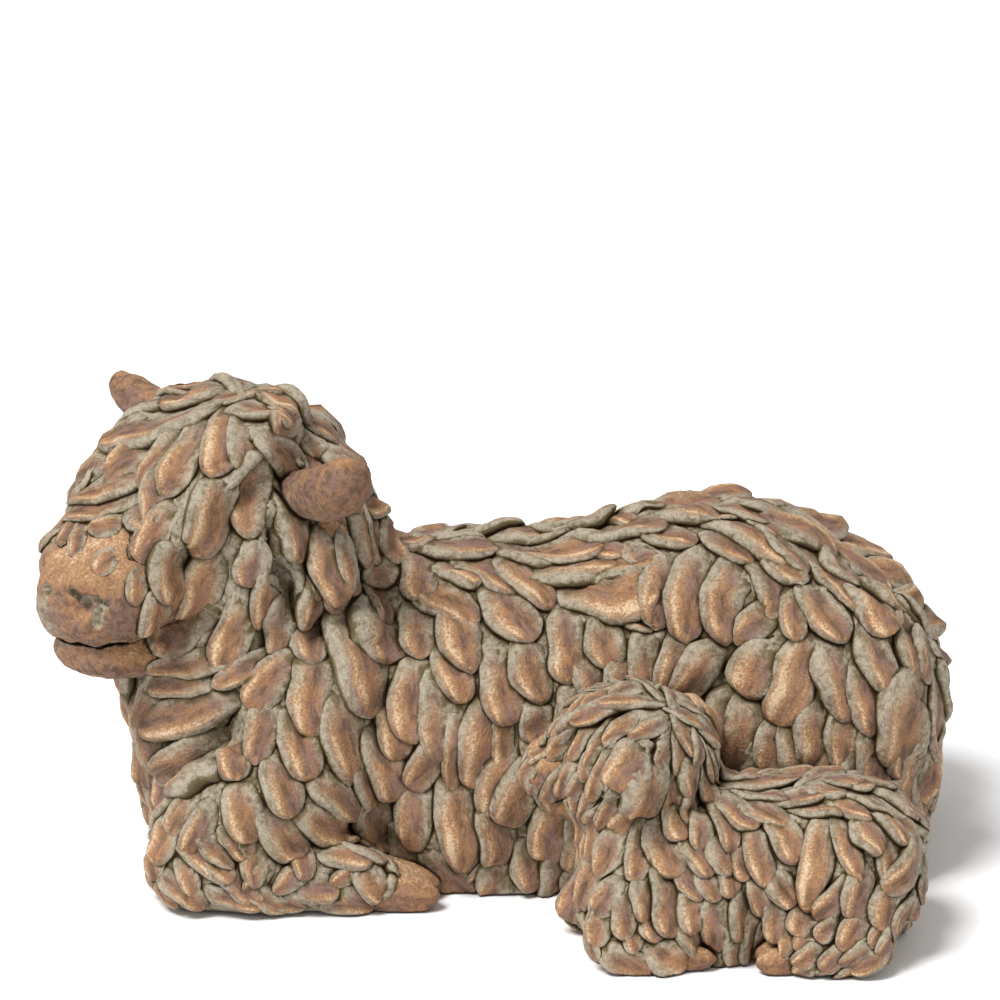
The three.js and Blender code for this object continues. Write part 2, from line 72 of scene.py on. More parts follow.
# How the skins under the coat are made.
WELD = 0.01 * MM
SKIN_VOXEL = 2 * MM
SKIN_ROUNDS = {"cow": 60, "calf": 26}
SKIN_SWELL = {"cow": 1.8 * MM, "calf": 1.2 * MM}
SOFT_FACTOR = 0.5
BARE_BLEND = 12 * MM
SKIN_SINK = 0.9 * MM
BARE_VOXEL = 1.6 * MM
BARE_ROUNDS = 10
FLOOR_GAP = 0.2 * MM
TINY = 1e-9

# The form of a lock, as shares of its length, width or thickness.
STATIONS = 17
TOP_ANGLES = (0, 14, 30, 45, 66, 90, 114, 135, 150, 166, 180)
UNDER_ANGLES = (225, 270, 315)
AROUND = len(TOP_ANGLES) + len(UNDER_ANGLES)
THICK_SHARE = 0.205
VARIETY = (0.85, 1.15)
SPREAD = 1.12
SLANT_LEAST = 0.66
BELLY = 1.15
SECTION_POWER = 3.0
ROOT_POWER = 2.0
DEPTH_POWER = 3.0
RISE_POWER = 0.7
TIP_POWER = (1.9, 3.2)
ROOT_TUCK = 0.2
TIP_REACH = 0.05
ROOT_SINK = -1.0
TIP_LIFT = (-0.1, 0.25)
ROLL = math.radians(4)
UNDER = 0.9
WOBBLE = 0.06
WOBBLE_SIZE = 7 * MM
SWAY = 0.14
SWAY_SIZE = 16 * MM
SKEW = 0.38
RAGGED = 0.19
RAGGED_ALONG = 3
RAGGED_ACROSS = 2
RAGGED_STARTS = 100
WRAP_LEAST = -0.35
WRAP_MOST = 0.15
LINE_ROUNDS = 3
NORMAL_ROUNDS = 6
JUMP = 4
HIDDEN_BELOW = 0.05
LISTED_TONE = (-0.3, 0.3)

# The thumb's print in a lock, and the rim round it that the bronze is brushed on.
DENT = 0.42
DENT_SIDE = 0.18
DENT_ACROSS = 0.48
DENT_ALONG = 0.36
DENT_PLACE = (0.5, 0.72)
RIM_PLACE = 0.4
RIM_BREADTH = 0.2
RIM_GOLD = 0.6
# The ridge side of each lock, which faces left and down, takes extra bronze: partly real brushing from one
# side, partly a painted highlight of the light from the left.
RIDGE_GOLD_AND_HIGHLIGHT = 0.5
ROOT_GOLD = 0.4
TIP_GOLD = 0.6
MIDDLE_GOLD = 0.3
STREAK = 0.4
# The way that the ridge side of each lock faces, where its extra bronze and painted highlight go.
LEAN = np.array((-0.8, 0, -0.4))

# How the cover of all that isn't listed is spread. It also fills in for a listed lock that would be
# stretched too far over a slope.
COVER_TRIES = 26000
COVER_FACING = -0.5
COVER_HEIGHT = 2 * MM
COVER_NEIGHBOURS = 4
COVER_NEARNESS = 1e-5
COVER_BEND = (-0.1, 0.1)
COVER_TONE = (-0.8, 0.5)
COVER_LIFT = -0.08
COVER_ABOVE = 0.7
COVER_ALONG = 0.5
COVER_ACROSS = 0.62
LISTED_ROOM = 1.08
STRETCH_MOST = 2.0
COVER_JITTER = math.radians(16)
TAIL_RUN = np.array((0.7, 0, -1.0))
FACE_MARGIN = 7 * MM
COVER_SIZES = {
    "cow_barrel": (46, 20), "cow_haunch": (44, 20), "cow_shoulder": (42, 19), "cow_neck": (42, 19),
    "cow_skull": (36, 16), "cow_forelock": (36, 16), "cow_forearm": (36, 16), "cow_shank": (30, 13),
    "cow_hind_shank": (30, 13), "cow_tail": (40, 12),
    "calf_barrel": (28, 12.5), "calf_haunch": (28, 12.5), "calf_shoulder": (28, 12.5),
    "calf_neck": (28, 12.5), "calf_skull": (22, 9.5), "calf_forelock": (24, 9),
    "calf_forearm": (22, 10), "calf_shank": (20, 9.5),
    "calf_hind_shank": (20, 9.5), "calf_tail": (24, 8),
}

SEED = 7
CHANCE = np.random.default_rng(SEED)

# Locks read off the photograph: where each starts and ends and how wide it is, in photo pixels.
# The tone runs from -1, washed grey, to 1, brushed bright. The bend bows the lock to its left as it runs.
# The lift stands the tip off the coat.
Lock = namedtuple("Lock", "root tip width tone bend lift", defaults=(0, 0, 0))

COW_HEAD = [
    ((215, 388), (100, 440), 30, 0, 0.12), ((150, 440), (108, 478), 30), ((208, 418), (165, 495), 34),
    ((230, 405), (212, 475), 36, 1), ((245, 410), (250, 535), 28), ((222, 480), (200, 555), 34, 0.5),
    ((175, 500), (140, 560), 32, 0.5), ((128, 522), (90, 532), 22), ((116, 549), (97, 574), 22, 0.5),
    ((85, 510), (75, 555), 18), ((140, 568), (135, 605), 20, 0.5), ((180, 548), (172, 602), 28, 0.5),
    ((150, 470), (72, 502), 30), ((140, 492), (65, 520), 24), ((85, 505), (62, 545), 18),
    ((218, 545), (188, 620), 36, 0.5), ((162, 592), (150, 630), 26, 0.5),
    ((218, 610), (155, 652), 32, 0.5, -0.12), ((245, 600), (222, 672), 36, 0.5),
    ((255, 540), (248, 585), 28, -0.5), ((268, 575), (262, 625), 26, 0.5), ((285, 590), (278, 658), 32, -0.7),
    ((258, 425), (300, 478), 30, -0.3), ((255, 392), (295, 420), 24, 0.6), ((262, 388), (345, 440), 26),
    ((303, 425), (325, 460), 22, -0.8),
]
COW_NECK = [
    ((255, 655), (150, 668), 26, -0.5), ((225, 680), (142, 684), 26, -0.4), ((235, 695), (145, 728), 40, 0.1),
    ((225, 738), (158, 775), 34, -0.2), ((126, 680), (128, 735), 26), ((140, 735), (147, 783), 26),
    ((156, 780), (165, 812), 24, -0.3), ((185, 775), (152, 800), 26), ((222, 755), (170, 795), 36, -0.5),
    ((235, 735), (238, 778), 34), ((270, 690), (255, 762), 36), ((290, 650), (215, 685), 26, -0.5),
    ((312, 640), (312, 735), 40, 0.3), ((345, 605), (372, 713), 46, 0.2), ((335, 690), (350, 782), 40, 0.6),
    ((290, 710), (308, 778), 38), ((275, 755), (290, 815), 40, 0.5), ((238, 780), (250, 840), 34, 0.6),
    ((262, 805), (300, 857), 40), ((300, 805), (352, 842), 36, 0.4), ((305, 770), (358, 815), 30),
    ((372, 730), (395, 797), 38), ((385, 680), (400, 757), 34, 0.5), ((418, 655), (412, 740), 42, 0.4),
    ((372, 600), (388, 662), 36, -0.5), ((415, 600), (422, 658), 36, -0.4),
    ((370, 545), (385, 588), 30, -0.3),
]
COW_FORELEG = [
    ((212, 802), (185, 852), 26, 0.4), ((222, 825), (250, 857), 28), ((178, 858), (195, 895), 20),
    ((205, 855), (232, 880), 20), ((275, 860), (245, 893), 20), ((308, 862), (275, 892), 22),
    ((290, 890), (338, 890), 24), ((362, 866), (330, 886), 18), ((200, 890), (262, 905), 20),
    ((155, 870), (205, 905), 22), ((265, 905), (305, 905), 18), ((320, 905), (378, 905), 18),
    ((320, 850), (370, 862), 22, 0.4), ((175, 815), (155, 860), 24, 0.4),
]
COW_FLANK = [
    ((415, 555), (425, 600), 36, -0.4), ((432, 562), (482, 582), 26), ((450, 595), (470, 672), 40, 0.6),
    ((488, 578), (530, 640), 42), ((505, 555), (550, 608), 36, 0.5), ((562, 580), (658, 590), 38, 0.8, -0.1),
    ((565, 605), (568, 682), 36), ((600, 610), (610, 668), 38), ((645, 630), (650, 690), 34, -0.4),
    ((690, 625), (665, 695), 34), ((625, 605), (650, 632), 26, -0.5), ((525, 635), (540, 703), 40),
    ((495, 650), (510, 722), 40), ((440, 640), (465, 700), 34, 0.4), ((575, 680), (585, 722), 38, -0.6),
    ((535, 700), (540, 742), 34, -0.6), ((485, 700), (475, 785), 40, 1), ((505, 705), (502, 770), 22, 0.5),
    ((442, 735), (412, 787), 30, 0.5), ((458, 705), (452, 790), 22, 0.4), ((420, 780), (412, 848), 36, 0.3),
    ((455, 775), (465, 870), 44, 0.5), ((500, 795), (495, 862), 40, 0.5), ((425, 850), (470, 893), 30),
    ((500, 860), (470, 885), 24), ((525, 840), (530, 890), 36),
]
COW_BACK = [
    ((405, 545), (492, 548), 22, -0.5), ((450, 532), (522, 520), 22, -0.3, 0, 0.7),
    ((530, 525), (612, 506), 22, -0.3, 0, 0.7), ((560, 530), (640, 525), 20, -0.3),
    ((560, 545), (625, 555), 24), ((625, 540), (660, 575), 32), ((640, 525), (692, 545), 28),
    ((620, 512), (662, 505), 20, -0.3), ((665, 505), (748, 490), 24, 0, 0, 0.5), ((690, 515), (735, 518), 18),
    ((740, 500), (785, 510), 24), ((775, 515), (848, 520), 34, 0, 0, 1.2), ((745, 512), (778, 535), 20),
]
COW_HAUNCH = [
    ((705, 530), (752, 562), 28), ((712, 555), (688, 640), 42, 0.4, -0.16),
    ((745, 560), (728, 642), 44, 0.5, -0.16), ((765, 545), (800, 585), 32), ((795, 542), (860, 610), 24, 0.3),
    ((790, 585), (797, 640), 26, 0.3), ((805, 580), (845, 640), 36, 0.4), ((722, 645), (672, 697), 40, 0.2),
    ((770, 640), (750, 697), 40), ((808, 635), (780, 722), 42, 1), ((830, 640), (850, 720), 34),
    ((862, 660), (872, 735), 34), ((862, 615), (890, 690), 30, -0.2), ((868, 575), (900, 650), 28),
    ((890, 600), (915, 680), 30), ((925, 670), (890, 765), 44, 0.4), ((940, 750), (930, 810), 22),
    ((735, 690), (715, 755), 40, -0.3), ((750, 690), (740, 775), 40), ((785, 715), (770, 772), 36, -0.2),
    ((815, 700), (812, 766), 36), ((845, 705), (845, 768), 36), ((875, 730), (872, 768), 28),
    ((905, 735), (900, 778), 34, 0.3), ((918, 600), (942, 680), 22),
]
CALF_HEAD = [
    ((665, 700), (600, 702), 14), ((640, 712), (605, 745), 18, 0.4), ((668, 718), (630, 740), 18, 0.4),
    ((675, 712), (695, 755), 16), ((590, 722), (572, 760), 14), ((610, 722), (585, 770), 14),
    ((608, 750), (590, 800), 14), ((678, 765), (668, 825), 20), ((690, 755), (690, 795), 18),
    ((692, 785), (688, 822), 18), ((582, 785), (562, 820), 16), ((600, 770), (580, 820), 14),
    ((615, 790), (600, 828), 16), ((560, 738), (528, 762), 16), ((545, 755), (524, 788), 15),
    ((562, 768), (540, 812), 16), ((575, 755), (560, 795), 14), ((532, 745), (508, 772), 14),
    ((535, 785), (520, 812), 14), ((646, 758), (640, 812), 42, 0.2), ((640, 742), (616, 786), 26, 0.4),
    ((672, 742), (656, 764), 18, -0.5),
]
CALF_NECK = [
    ((620, 825), (602, 878), 26), ((645, 820), (635, 880), 24), ((655, 820), (678, 875), 24, 0.3),
    ((682, 830), (710, 875), 24), ((662, 865), (672, 935), 30, 0.2), ((640, 878), (645, 920), 24),
    ((600, 845), (580, 905), 24), ((618, 875), (598, 912), 22), ((585, 870), (565, 920), 24),
    ((622, 895), (625, 940), 24), ((650, 910), (655, 942), 24), ((600, 905), (595, 945), 18),
    ((690, 885), (692, 932), 26, 0.3), ((700, 870), (718, 900), 20), ((712, 795), (732, 850), 24),
    ((738, 840), (745, 880), 20), ((725, 860), (730, 897), 20), ((740, 892), (740, 940), 20),
    ((715, 890), (715, 950), 26), ((645, 948), (702, 966), 36, 0.2), ((555, 938), (600, 966), 28),
    ((598, 950), (650, 970), 28, 0.1),
]
CALF_BODY = [
    ((715, 795), (755, 828), 26), ((752, 825), (765, 885), 26, 0.3), ((770, 812), (798, 862), 32, 0.4),
    ((825, 815), (808, 908), 26, 1), ((835, 820), (860, 880), 22, 0.5), ((862, 815), (880, 852), 24, 0.4),
    ((825, 795), (870, 818), 22), ((852, 878), (818, 920), 24), ((868, 865), (852, 920), 22),
    ((752, 878), (765, 915), 20), ((770, 870), (795, 905), 26), ((772, 900), (780, 942), 26),
    ((808, 905), (800, 937), 22), ((838, 920), (818, 940), 18), ((870, 915), (842, 950), 26),
    ((920, 830), (885, 890), 30, 0.3), ((720, 785), (800, 780), 16, -0.4), ((770, 800), (825, 795), 18),
    ((800, 785), (842, 770), 16, -0.4), ((845, 780), (870, 785), 16), ((865, 780), (915, 820), 18),
    ((895, 880), (880, 930), 26), ((820, 945), (795, 965), 22), ((845, 948), (822, 970), 22),
    ((795, 960), (762, 970), 22), ((890, 950), (850, 968), 20),
]
COW_EAR = [
    ((318, 526), (341, 600), 34, -0.1), ((346, 530), (352, 585), 18, -0.5),
]

# Where a skin is pressed in, or swells out if the depth is negative: photo pixels, and mm for the size.
Hollow = namedtuple("Hollow", "path radius depth")

HOLLOWS = {
    "cow": [
        ([(274, 532), (282, 566), (296, 606)], 6.5, 14), ([(304, 448), (328, 462)], 4, 7),
        ([(370, 832), (392, 842)], 5, 9), ([(118, 735), (130, 780), (142, 815)], 16, 15),
        ([(872, 546)], 20, 10), ([(352, 436)], 10, 5),
        ([(405, 525), (520, 522), (635, 504)], 13, 8),
        ([(660, 500), (700, 494)], 12, 4), ([(74, 495), (54, 540)], 11, -6),
        ([(46, 605), (58, 645)], 11, -4), ([(296, 404), (325, 420)], 12, -5),
        ([(940, 625), (944, 660)], 14, -3.5), ([(944, 745)], 14, 3), ([(150, 890)], 10, 4),
        ([(392, 524)], 9, -5),
    ],
    "calf": [
        ([(916, 965)], 18, 12), ([(560, 905)], 8, -5), ([(588, 960)], 10, 4),
        ([(640, 745), (664, 762), (666, 790), (650, 812), (624, 806), (614, 780), (620, 756),
          (640, 745)], 1.8, 2),
    ],
}
TRAIL_STEPS = 12

# The cover keeps off hollows narrower than this, in mm, down to the reach, and off the calf's knob.
NARROW = 8
KEEP_OFF = 1.25
KNOB = "calf_ear_left"
HOLLOW_REACH = 25 * MM

# Marks on the cow's bare muzzle: the rim over the near nostril, the nostrils, the mouth and the lips.
NOSTRIL_RIM = Hollow([(70, 584), (88, 584), (106, 592), (116, 608)], 3.0, -1.2)
NOSTRILS = [
    Hollow([(72, 592), (82, 599), (94, 600), (106, 606)], 1.6, 2.4),
    Hollow([(99, 611), (97, 624)], 2.6, 2.6),
    Hollow([(46, 588), (48, 591)], 2.0, 2.2),
]
MOUTH = Hollow([(50, 639), (80, 646), (110, 651), (137, 648)], 1.4, 3.4)
LIPS = [Hollow([(60, 630), (90, 637), (125, 640)], 2.5, -0.8), Hollow([(62, 657), (95, 664)], 3.0, -0.8)]
MUZZLE_MARKS = [NOSTRIL_RIM, *NOSTRILS, MOUTH, *LIPS]
LINING_POWER = 4

# The lumps of the clay, and the finish of the skin between the locks and of the bare parts.
LUMP = 9 * MM
LUMP_DEPTH = {"calf_ear_left": 2.2 * MM, "calf_muzzle": 1.4 * MM, "calf_jaw": 1.4 * MM}
LUMP_DEPTH_ELSE = 0.7 * MM
LUMP_NOISE = (0.7, 2.2, 3)
SKIN_WAY = 0.3
SKIN_TONE = -0.3
BARE_EDGE = 0.88
BARE_GOLD = 0.44
HORN_GOLD = 0.15
# A painted highlight: bare parts take more bronze the more they face upwards.
BARE_TOP_HIGHLIGHT = 0.42
BARE_WAY = 0.75
BARE_TONE = 0.1
END_BARENESS = (0.7, 0.95)

# How the feet differ from their solids: the stretch back under the coat, and the slope of the top.
TOE_STRETCH = 1.75
TOE_SLOPE = 0.42
TOE_POWER = 1.3

# How the horns differ from their solids: the girth at the root and at the tip, the stretch of the inner half,
# the shift of the tip and the drop of the root.
HORN_GIRTH = {"cow_horn_left": (0.47, 1.36), "cow_horn_right": (0.9, 0.76)}
HORN_ROOT = 1.5
HORN_POWER = 1.6
HORN_RISE = {"cow_horn_left": np.array((0, 0, 4)) * MM, "cow_horn_right": np.array((-5, 0, 9)) * MM}
HORN_DROP = {"cow_horn_left": np.array((0, 0, -10)) * MM, "cow_horn_right": np.array((0, 0, 0))}

# How the sky above a point is searched for what closes it off.
CAVITY_RAYS = 6
CAVITY_REACH = 11 * MM
CAVITY_START = 0.35 * MM
# Points under a lock count as this closed off, so the lock's base gathers wash and is darkened with painted
# shade.
EDGE_CAVITY = 0.7
GOLDEN_TURN = math.pi * (3 - math.sqrt(5))

# The sRGB curve.
SRGB_KNEE = 10
SRGB_SLOPE = 3295
SRGB_OFFSET = 0.055
SRGB_POWER = 2.4


def linear(*colour):
    """An sRGB colour of 0 to 255 as the shader's linear colour."""
    shares = []
    for level in colour:
        curved = ((level / 255 + SRGB_OFFSET) / (1 + SRGB_OFFSET)) ** SRGB_POWER
        shares.append(curved if level > SRGB_KNEE else level / SRGB_SLOPE)
    return (*shares, 1)


# The colours.
# Partly a real dark wash and partly painted shade: the near-black that closed-off crevices are darkened
# towards.
CREVICE_WASH_AND_SHADE = linear(54, 35, 10)
WASH_LIGHT = linear(192, 183, 163)
WASH_DARK = linear(105, 97, 63)
RUSSET = linear(163, 118, 87)
MAUVE = linear(148, 117, 105)
BROWN_DARK = linear(106, 81, 62)
BRONZE = linear(189, 143, 100)
# The palest bronze: partly the paint's own pale metal, partly painted glints of its sheen.
BRONZE_PALE_AND_GLINT = linear(236, 205, 168)

# The finish: the scale, detail, roughness and distortion of the noises, the weights by which they and the
# marks stored on the pieces are added up, and the ranges over which each sum goes from none to all.
NOISES = {
    "broad": (80, 3, 0.55, 0),
    "mottle": (300, 6, 0.68, 0.5),
    "fleck": (800, 4, 0.65, 0),
    "grain": (800, 5, 0.7, 0),
}
# The streaks run along each lock, as brush strokes do.
STREAK_NOISE = (260, 5, 0.66, 0.4)
RUSSET_RANGE = (0.4, 0.6)
LIGHT_RANGE = (0.34, 0.6)
GILD = {"gold": 2.0, "streak": 1.0, "fleck": 0.7, "tone": 0.35, "broad": 1.0, "cavity": -0.6, "one": -1.95}
GILD_RANGE = (-0.15, 0.95)
# The palest bronze comes where the brushing is thickest and in flecks: partly real pale paint, partly painted
# glints.
PALE_AND_GLINT = {"gild": 1.0, "fleck": 1.2, "one": -0.6}
PALE_AND_GLINT_RANGE = (0.6, 1.4)
# The wash goes from its light to its dark colour with its own mottle and streaks, and darker where the stored
# cavity says the sky is closed off; that darkening is painted shade.
SHADE = {"mottle": 0.6, "streak": 0.4, "cavity": -0.45}
SHADE_RANGE = (0.3, 0.58)
WASH = {"edge": -1.5, "gold": -0.5, "way": -1.6, "mottle": 1.1, "fleck": 0.4, "tone": -0.4, "broad": 1.4,
        "streak": -0.5, "cavity": 0.6, "one": 0.89}
WASH_RANGE = (-0.35, 0.9)
WASH_COVER = 0.9
SPECK_RANGE = (0.62, 0.36)
SPECK_COVER = 0.3
# Painted shade in the crevices, partly a real dark wash: the occlusion node within its short reach and the
# stored cavity darken a point towards the near-black.
CREVICE_WASH_AND_SHADE_WEIGHTS = {"closed": 0.8, "cavity": 0.5}
CREVICE_WASH_AND_SHADE_RANGE = (0.26, 0.54)
OCCLUSION_SHADE_REACH = 2.5 * MM
OCCLUSION_SHADE_SAMPLES = 6
METALLIC = 0.12
ROUGH = {"bronzed": -0.14, "fleck": 0.2, "one": 0.56}
SPECULAR = 0.25
RELIEF = {"grain": 0.6, "fleck": 0.3, "mottle": 0.6, "streak": 0.8}
RELIEF_STRENGTH = 0.9
RELIEF_DEPTH = 1.5 * MM

# The places of the colours and the result among the sockets of a mix node.
MIX_FIRST = 6
MIX_SECOND = 7
MIX_RESULT = 2

# The stage: a white floor, a soft light from all round and a key light.
KEY_WAY = Vector((0.4, 0.42, -0.9))
FLOOR_HALF = 6.0
FLOOR_WHITE = linear(250, 250, 250)
FLOOR_ROUGHNESS = 0.9
WORLD_LIGHT = 0.57
KEY_LIGHT = 3.2
KEY_ANGLE = math.radians(24)

BARE_WORDS = ("horn", "muzzle", "jaw", "hoof")


def is_bare(node):
    return any(word in node for word in BARE_WORDS)


def animal_of(node):
    return node.split("_")[0]


def skin_nodes(animal):
    """The nodes that carry an animal's coat, with the face that it hangs over."""
    loose = ("horn", "hoof", "ear_")
    own = [node for node in NODES if animal_of(node) == animal]
    return [node for node in own if node == KNOB or not any(word in node for word in loose)]


def sight(pixel):
    """The direction in which the photograph's camera sees a pixel."""
    across = (pixel[0] - IMAGE / 2) * PIXEL
    above = (IMAGE / 2 - pixel[1]) * PIXEL
    return (FORWARD * DISTANCE + RIGHT * across + UP * above).normalized()


def seen(tree, pixel):
    """Where a line of sight meets a skin, or comes nearest to it."""
    direction = sight(pixel)
    place = tree.ray_cast(CAMERA, direction)[0]
    if place is not None:
        return place
    best = None
    for step in np.linspace(DISTANCE - SEARCH_REACH, DISTANCE + SEARCH_REACH, SEARCH_STEPS):
        near, _, _, gap = tree.find_nearest(CAMERA + direction * step)
        if best is None or gap < best[0]:
            best = (gap, near)
    return best[1]


def placed(name, data):
    """A new object in the scene."""
    made = bpy.data.objects.new(name, data)
    bpy.context.scene.collection.objects.link(made)
    return made


def mesh_of(name, points, faces):
    mesh = bpy.data.meshes.new(name)
    mesh.from_pydata(np.asarray(points).tolist(), [], faces)
    return mesh


def smooth_copy(nodes, voxel, rounds):
    """Some CAD nodes as one closed, evenly meshed and softened skin: its points and its faces."""
    joined = bmesh.new()
    for node in nodes:
        joined.from_mesh(NODES[node].data)
    bmesh.ops.remove_doubles(joined, verts=joined.verts, dist=WELD)
    mesh = bpy.data.meshes.new("skin")
    joined.to_mesh(mesh)
    joined.free()
    shape = placed("skin", mesh)
    even = shape.modifiers.new("even", "REMESH")
    even.mode = "VOXEL"
    even.voxel_size = voxel
    soft = shape.modifiers.new("soft", "SMOOTH")
    soft.factor = SOFT_FACTOR
    soft.iterations = rounds
    bpy.context.view_layer.update()
    depsgraph = bpy.context.evaluated_depsgraph_get()
    result = bpy.data.meshes.new_from_object(shape.evaluated_get(depsgraph))
    points = np.empty(len(result.vertices) * 3)
    result.vertices.foreach_get("co", points)
    faces = [tuple(face.vertices) for face in result.polygons]
    bpy.data.objects.remove(shape)
    bpy.data.meshes.remove(mesh)
    bpy.data.meshes.remove(result)
    return points.reshape(-1, 3), faces


def tree_of(meshes):
    """The faces of some meshes together, for finding the nearest."""
    corners, faces = [], []
    for mesh in meshes:
        count = len(corners)
        faces.extend(tuple(index + count for index in face.vertices) for face in mesh.polygons)
        corners.extend(vertex.co for vertex in mesh.vertices)
    return BVHTree.FromPolygons(corners, faces)


def solid_tree(nodes):
    """The faces of some CAD nodes for finding the nearest, and the node that each belongs to."""
    meshes = [NODES[node].data for node in nodes]
    owners = [node for node, mesh in zip(nodes, meshes) for _ in mesh.polygons]
    return tree_of(meshes), owners


def grounded(points, height=0):
    """Points of which none is lower than the ground, or than a height."""
    return np.column_stack([points[:, :2], np.maximum(points[:, 2], height)])


def aside(gaps):
    """How far gaps reach across the photograph's line of sight."""
    return np.linalg.norm(gaps - np.outer(gaps @ FORWARD, FORWARD), axis=1)


class Skin:
    """The smooth body of some nodes, which locks lie on."""

    def __init__(self, nodes, voxel=SKIN_VOXEL):
        animal = animal_of(nodes[0])
        points, self.faces = smooth_copy(nodes, voxel, SKIN_ROUNDS[animal])
        points = points + normals_of(points, self.faces) * SKIN_SWELL[animal]
        self.narrow = []
        for row in HOLLOWS[animal] if len(nodes) > 1 else []:
            hollow = Hollow(*row)
            points, trail = pressed(points, self.faces, hollow)
            if hollow.radius < NARROW:
                self.narrow.append((trail, hollow.radius * KEEP_OFF * MM))
        self.points = grounded(points)
        self.tree = BVHTree.FromPolygons([Vector(point) for point in self.points], self.faces)
        self.nodes = nodes
        self.solids = solid_tree(nodes)
        self.coats = solid_tree([node for node in nodes if not is_bare(node)])
        self.bare = solid_tree([node for node in nodes if is_bare(node)])[0]

    def in_hollow(self, point):
        """Whether a point is in one of the narrow hollows, where no lock grows."""
        for trail, reach in self.narrow:
            gaps = trail - point
            if ((aside(gaps) < reach) & (np.abs(gaps @ FORWARD) < HOLLOW_REACH)).any():
                return True
        return False

    def nearest(self, point):
        place, normal, _, _ = self.tree.find_nearest(point)
        return place, normal

    def owner(self, point, coated=False):
        """The node that a point of the skin belongs to, or the nearest of those with a coat."""
        tree, owners = self.coats if coated else self.solids
        return owners[tree.find_nearest(point)[2]]

    def patches(self):
        """The skin cut into the parts that cover each node, every part closed towards the node's middle."""
        groups = {node: [] for node in self.nodes}
        for face in self.faces:
            groups[self.owner(Vector(self.points[list(face)].mean(axis=0)))].append(face)
        return {node: closed_patch(self.points, faces, node) for node, faces in groups.items()}


def closed_patch(points, faces, node):
    """Some faces of a skin with their own points, with each open edge drawn to the middle of a node."""
    used = sorted({index for face in faces for index in face})
    places = {old: new for new, old in enumerate(used)}
    own = [tuple(places[index] for index in face) for face in faces]
    edges = {}
    for face in own:
        for start, end in zip(face, face[1:] + face[:1]):
            if (end, start) in edges:
                del edges[(end, start)]
            else:
                edges[(start, end)] = True
    middle = np.mean([vertex.co for vertex in NODES[node].data.vertices], axis=0)
    caps = [(end, start, len(used)) for start, end in edges]
    return np.vstack([points[used], middle]), own, caps


Strand = namedtuple("Strand", "node middle along across normal length width points edge gold tone grain")

# What all locks share: the stations along them, the section at each, and the marks that don't differ.
TOP_TURNS = range(len(TOP_ANGLES))
UNDER_TURNS = np.arange(len(TOP_ANGLES), AROUND)
TWIN_TURNS = np.array([TOP_ANGLES.index(360 - angle) for angle in UNDER_ANGLES])
SECTION_ANGLES = np.radians(TOP_ANGLES + UNDER_ANGLES)
SECTION_SIDE, SECTION_UP = (np.sign(rows) * np.abs(rows) ** (2 / SECTION_POWER)
                            for rows in (np.cos(SECTION_ANGLES), np.sin(SECTION_ANGLES)))
SECTION_HIGH = np.where(SECTION_UP > 0, SECTION_UP, SECTION_UP * UNDER)[None, :]
STRAND_HIDDEN = np.append(np.tile(SECTION_UP < HIDDEN_BELOW, STATIONS), (1, 1))
SHARES = (1 - np.cos(np.linspace(0, math.pi, STATIONS))) / 2
BOW = np.sin(SHARES * math.pi)
LINE_SPAN = 1 + ROOT_TUCK + TIP_REACH
LINE_PLACES = (SHARES * LINE_SPAN - ROOT_TUCK)[:, None]
STRAND_WAY = np.append(np.repeat(SHARES, AROUND), (0, 1))


def strand_faces():
    """The faces of a lock: rings of four-sided ones, closed at the root and at the tip."""
    turns = [(turn, (turn + 1) % AROUND) for turn in range(AROUND)]
    tip_ring, first, last = (STATIONS - 1) * AROUND, STATIONS * AROUND, STATIONS * AROUND + 1
    faces = []
    for here in range(0, tip_ring, AROUND):
        there = here + AROUND
        faces.extend((here + turn, here + after, there + after, there + turn) for turn, after in turns)
    for turn, after in turns:
        faces.append((first, after, turn))
        faces.append((last, tip_ring + turn, tip_ring + after))
    return faces


STRAND_FACES = strand_faces()


def soften(rows, rounds):
    """A row of vectors, each drawn towards its neighbours."""
    for _ in range(rounds):
        inner = (rows[:-2] + rows[1:-1] * 2 + rows[2:]) / 4
        rows = np.vstack([rows[:1], inner, rows[-1:]])
    return rows


def unit(rows):
    return rows / np.maximum(np.linalg.norm(rows, axis=-1, keepdims=True), TINY)


def leaf_outline(tip_power):
    """The half width of a leaf along its length, from 0 at the root to 1 at its widest."""
    place = 2 * SHARES ** BELLY - 1
    power = np.where(place < 0, ROOT_POWER, tip_power)
    return np.maximum(1 - np.abs(place) ** power, 0) ** (1 / power)


def straight_line(skin, root, tip, bend):
    """The points of a lock's middle line, from a little before its root to a little past its tip."""
    run = tip - root
    _, normal = skin.nearest(Vector((root + tip) / 2))
    sideways = np.cross(np.array(normal), run)
    return root + run * LINE_PLACES + sideways * (BOW * bend)[:, None]


def photo_line(skin, lock):
    """A lock's middle line as the photograph shows it, or straight where that would leap over a fold."""
    root, tip = np.array(lock.root), np.array(lock.tip)
    run = tip - root
    leftward = np.array((run[1], -run[0]))
    pixels = root + run * LINE_PLACES + leftward * (BOW * lock.bend)[:, None]
    line = np.array([seen(skin.tree, pixel) for pixel in pixels])
    steps = np.linalg.norm(np.diff(line, axis=0), axis=1)
    if steps.max() > JUMP * np.linalg.norm(line[-1] - line[0]) / STATIONS:
        ends = [np.array(seen(skin.tree, pixel)) for pixel in (lock.root, lock.tip)]
        return straight_line(skin, *ends, lock.bend)
    return line


def ragged_edges(start):
    """How much wider or narrower a lock is at each of its points, for an uneven edge."""
    rows = []
    for share in SHARES:
        along = RAGGED_ALONG * share
        spots = [Vector((start, along, RAGGED_ACROSS * np.sign(side))) for side in SECTION_SIDE]
        rows.append([noise.noise(spot) for spot in spots])
    return np.array(rows)


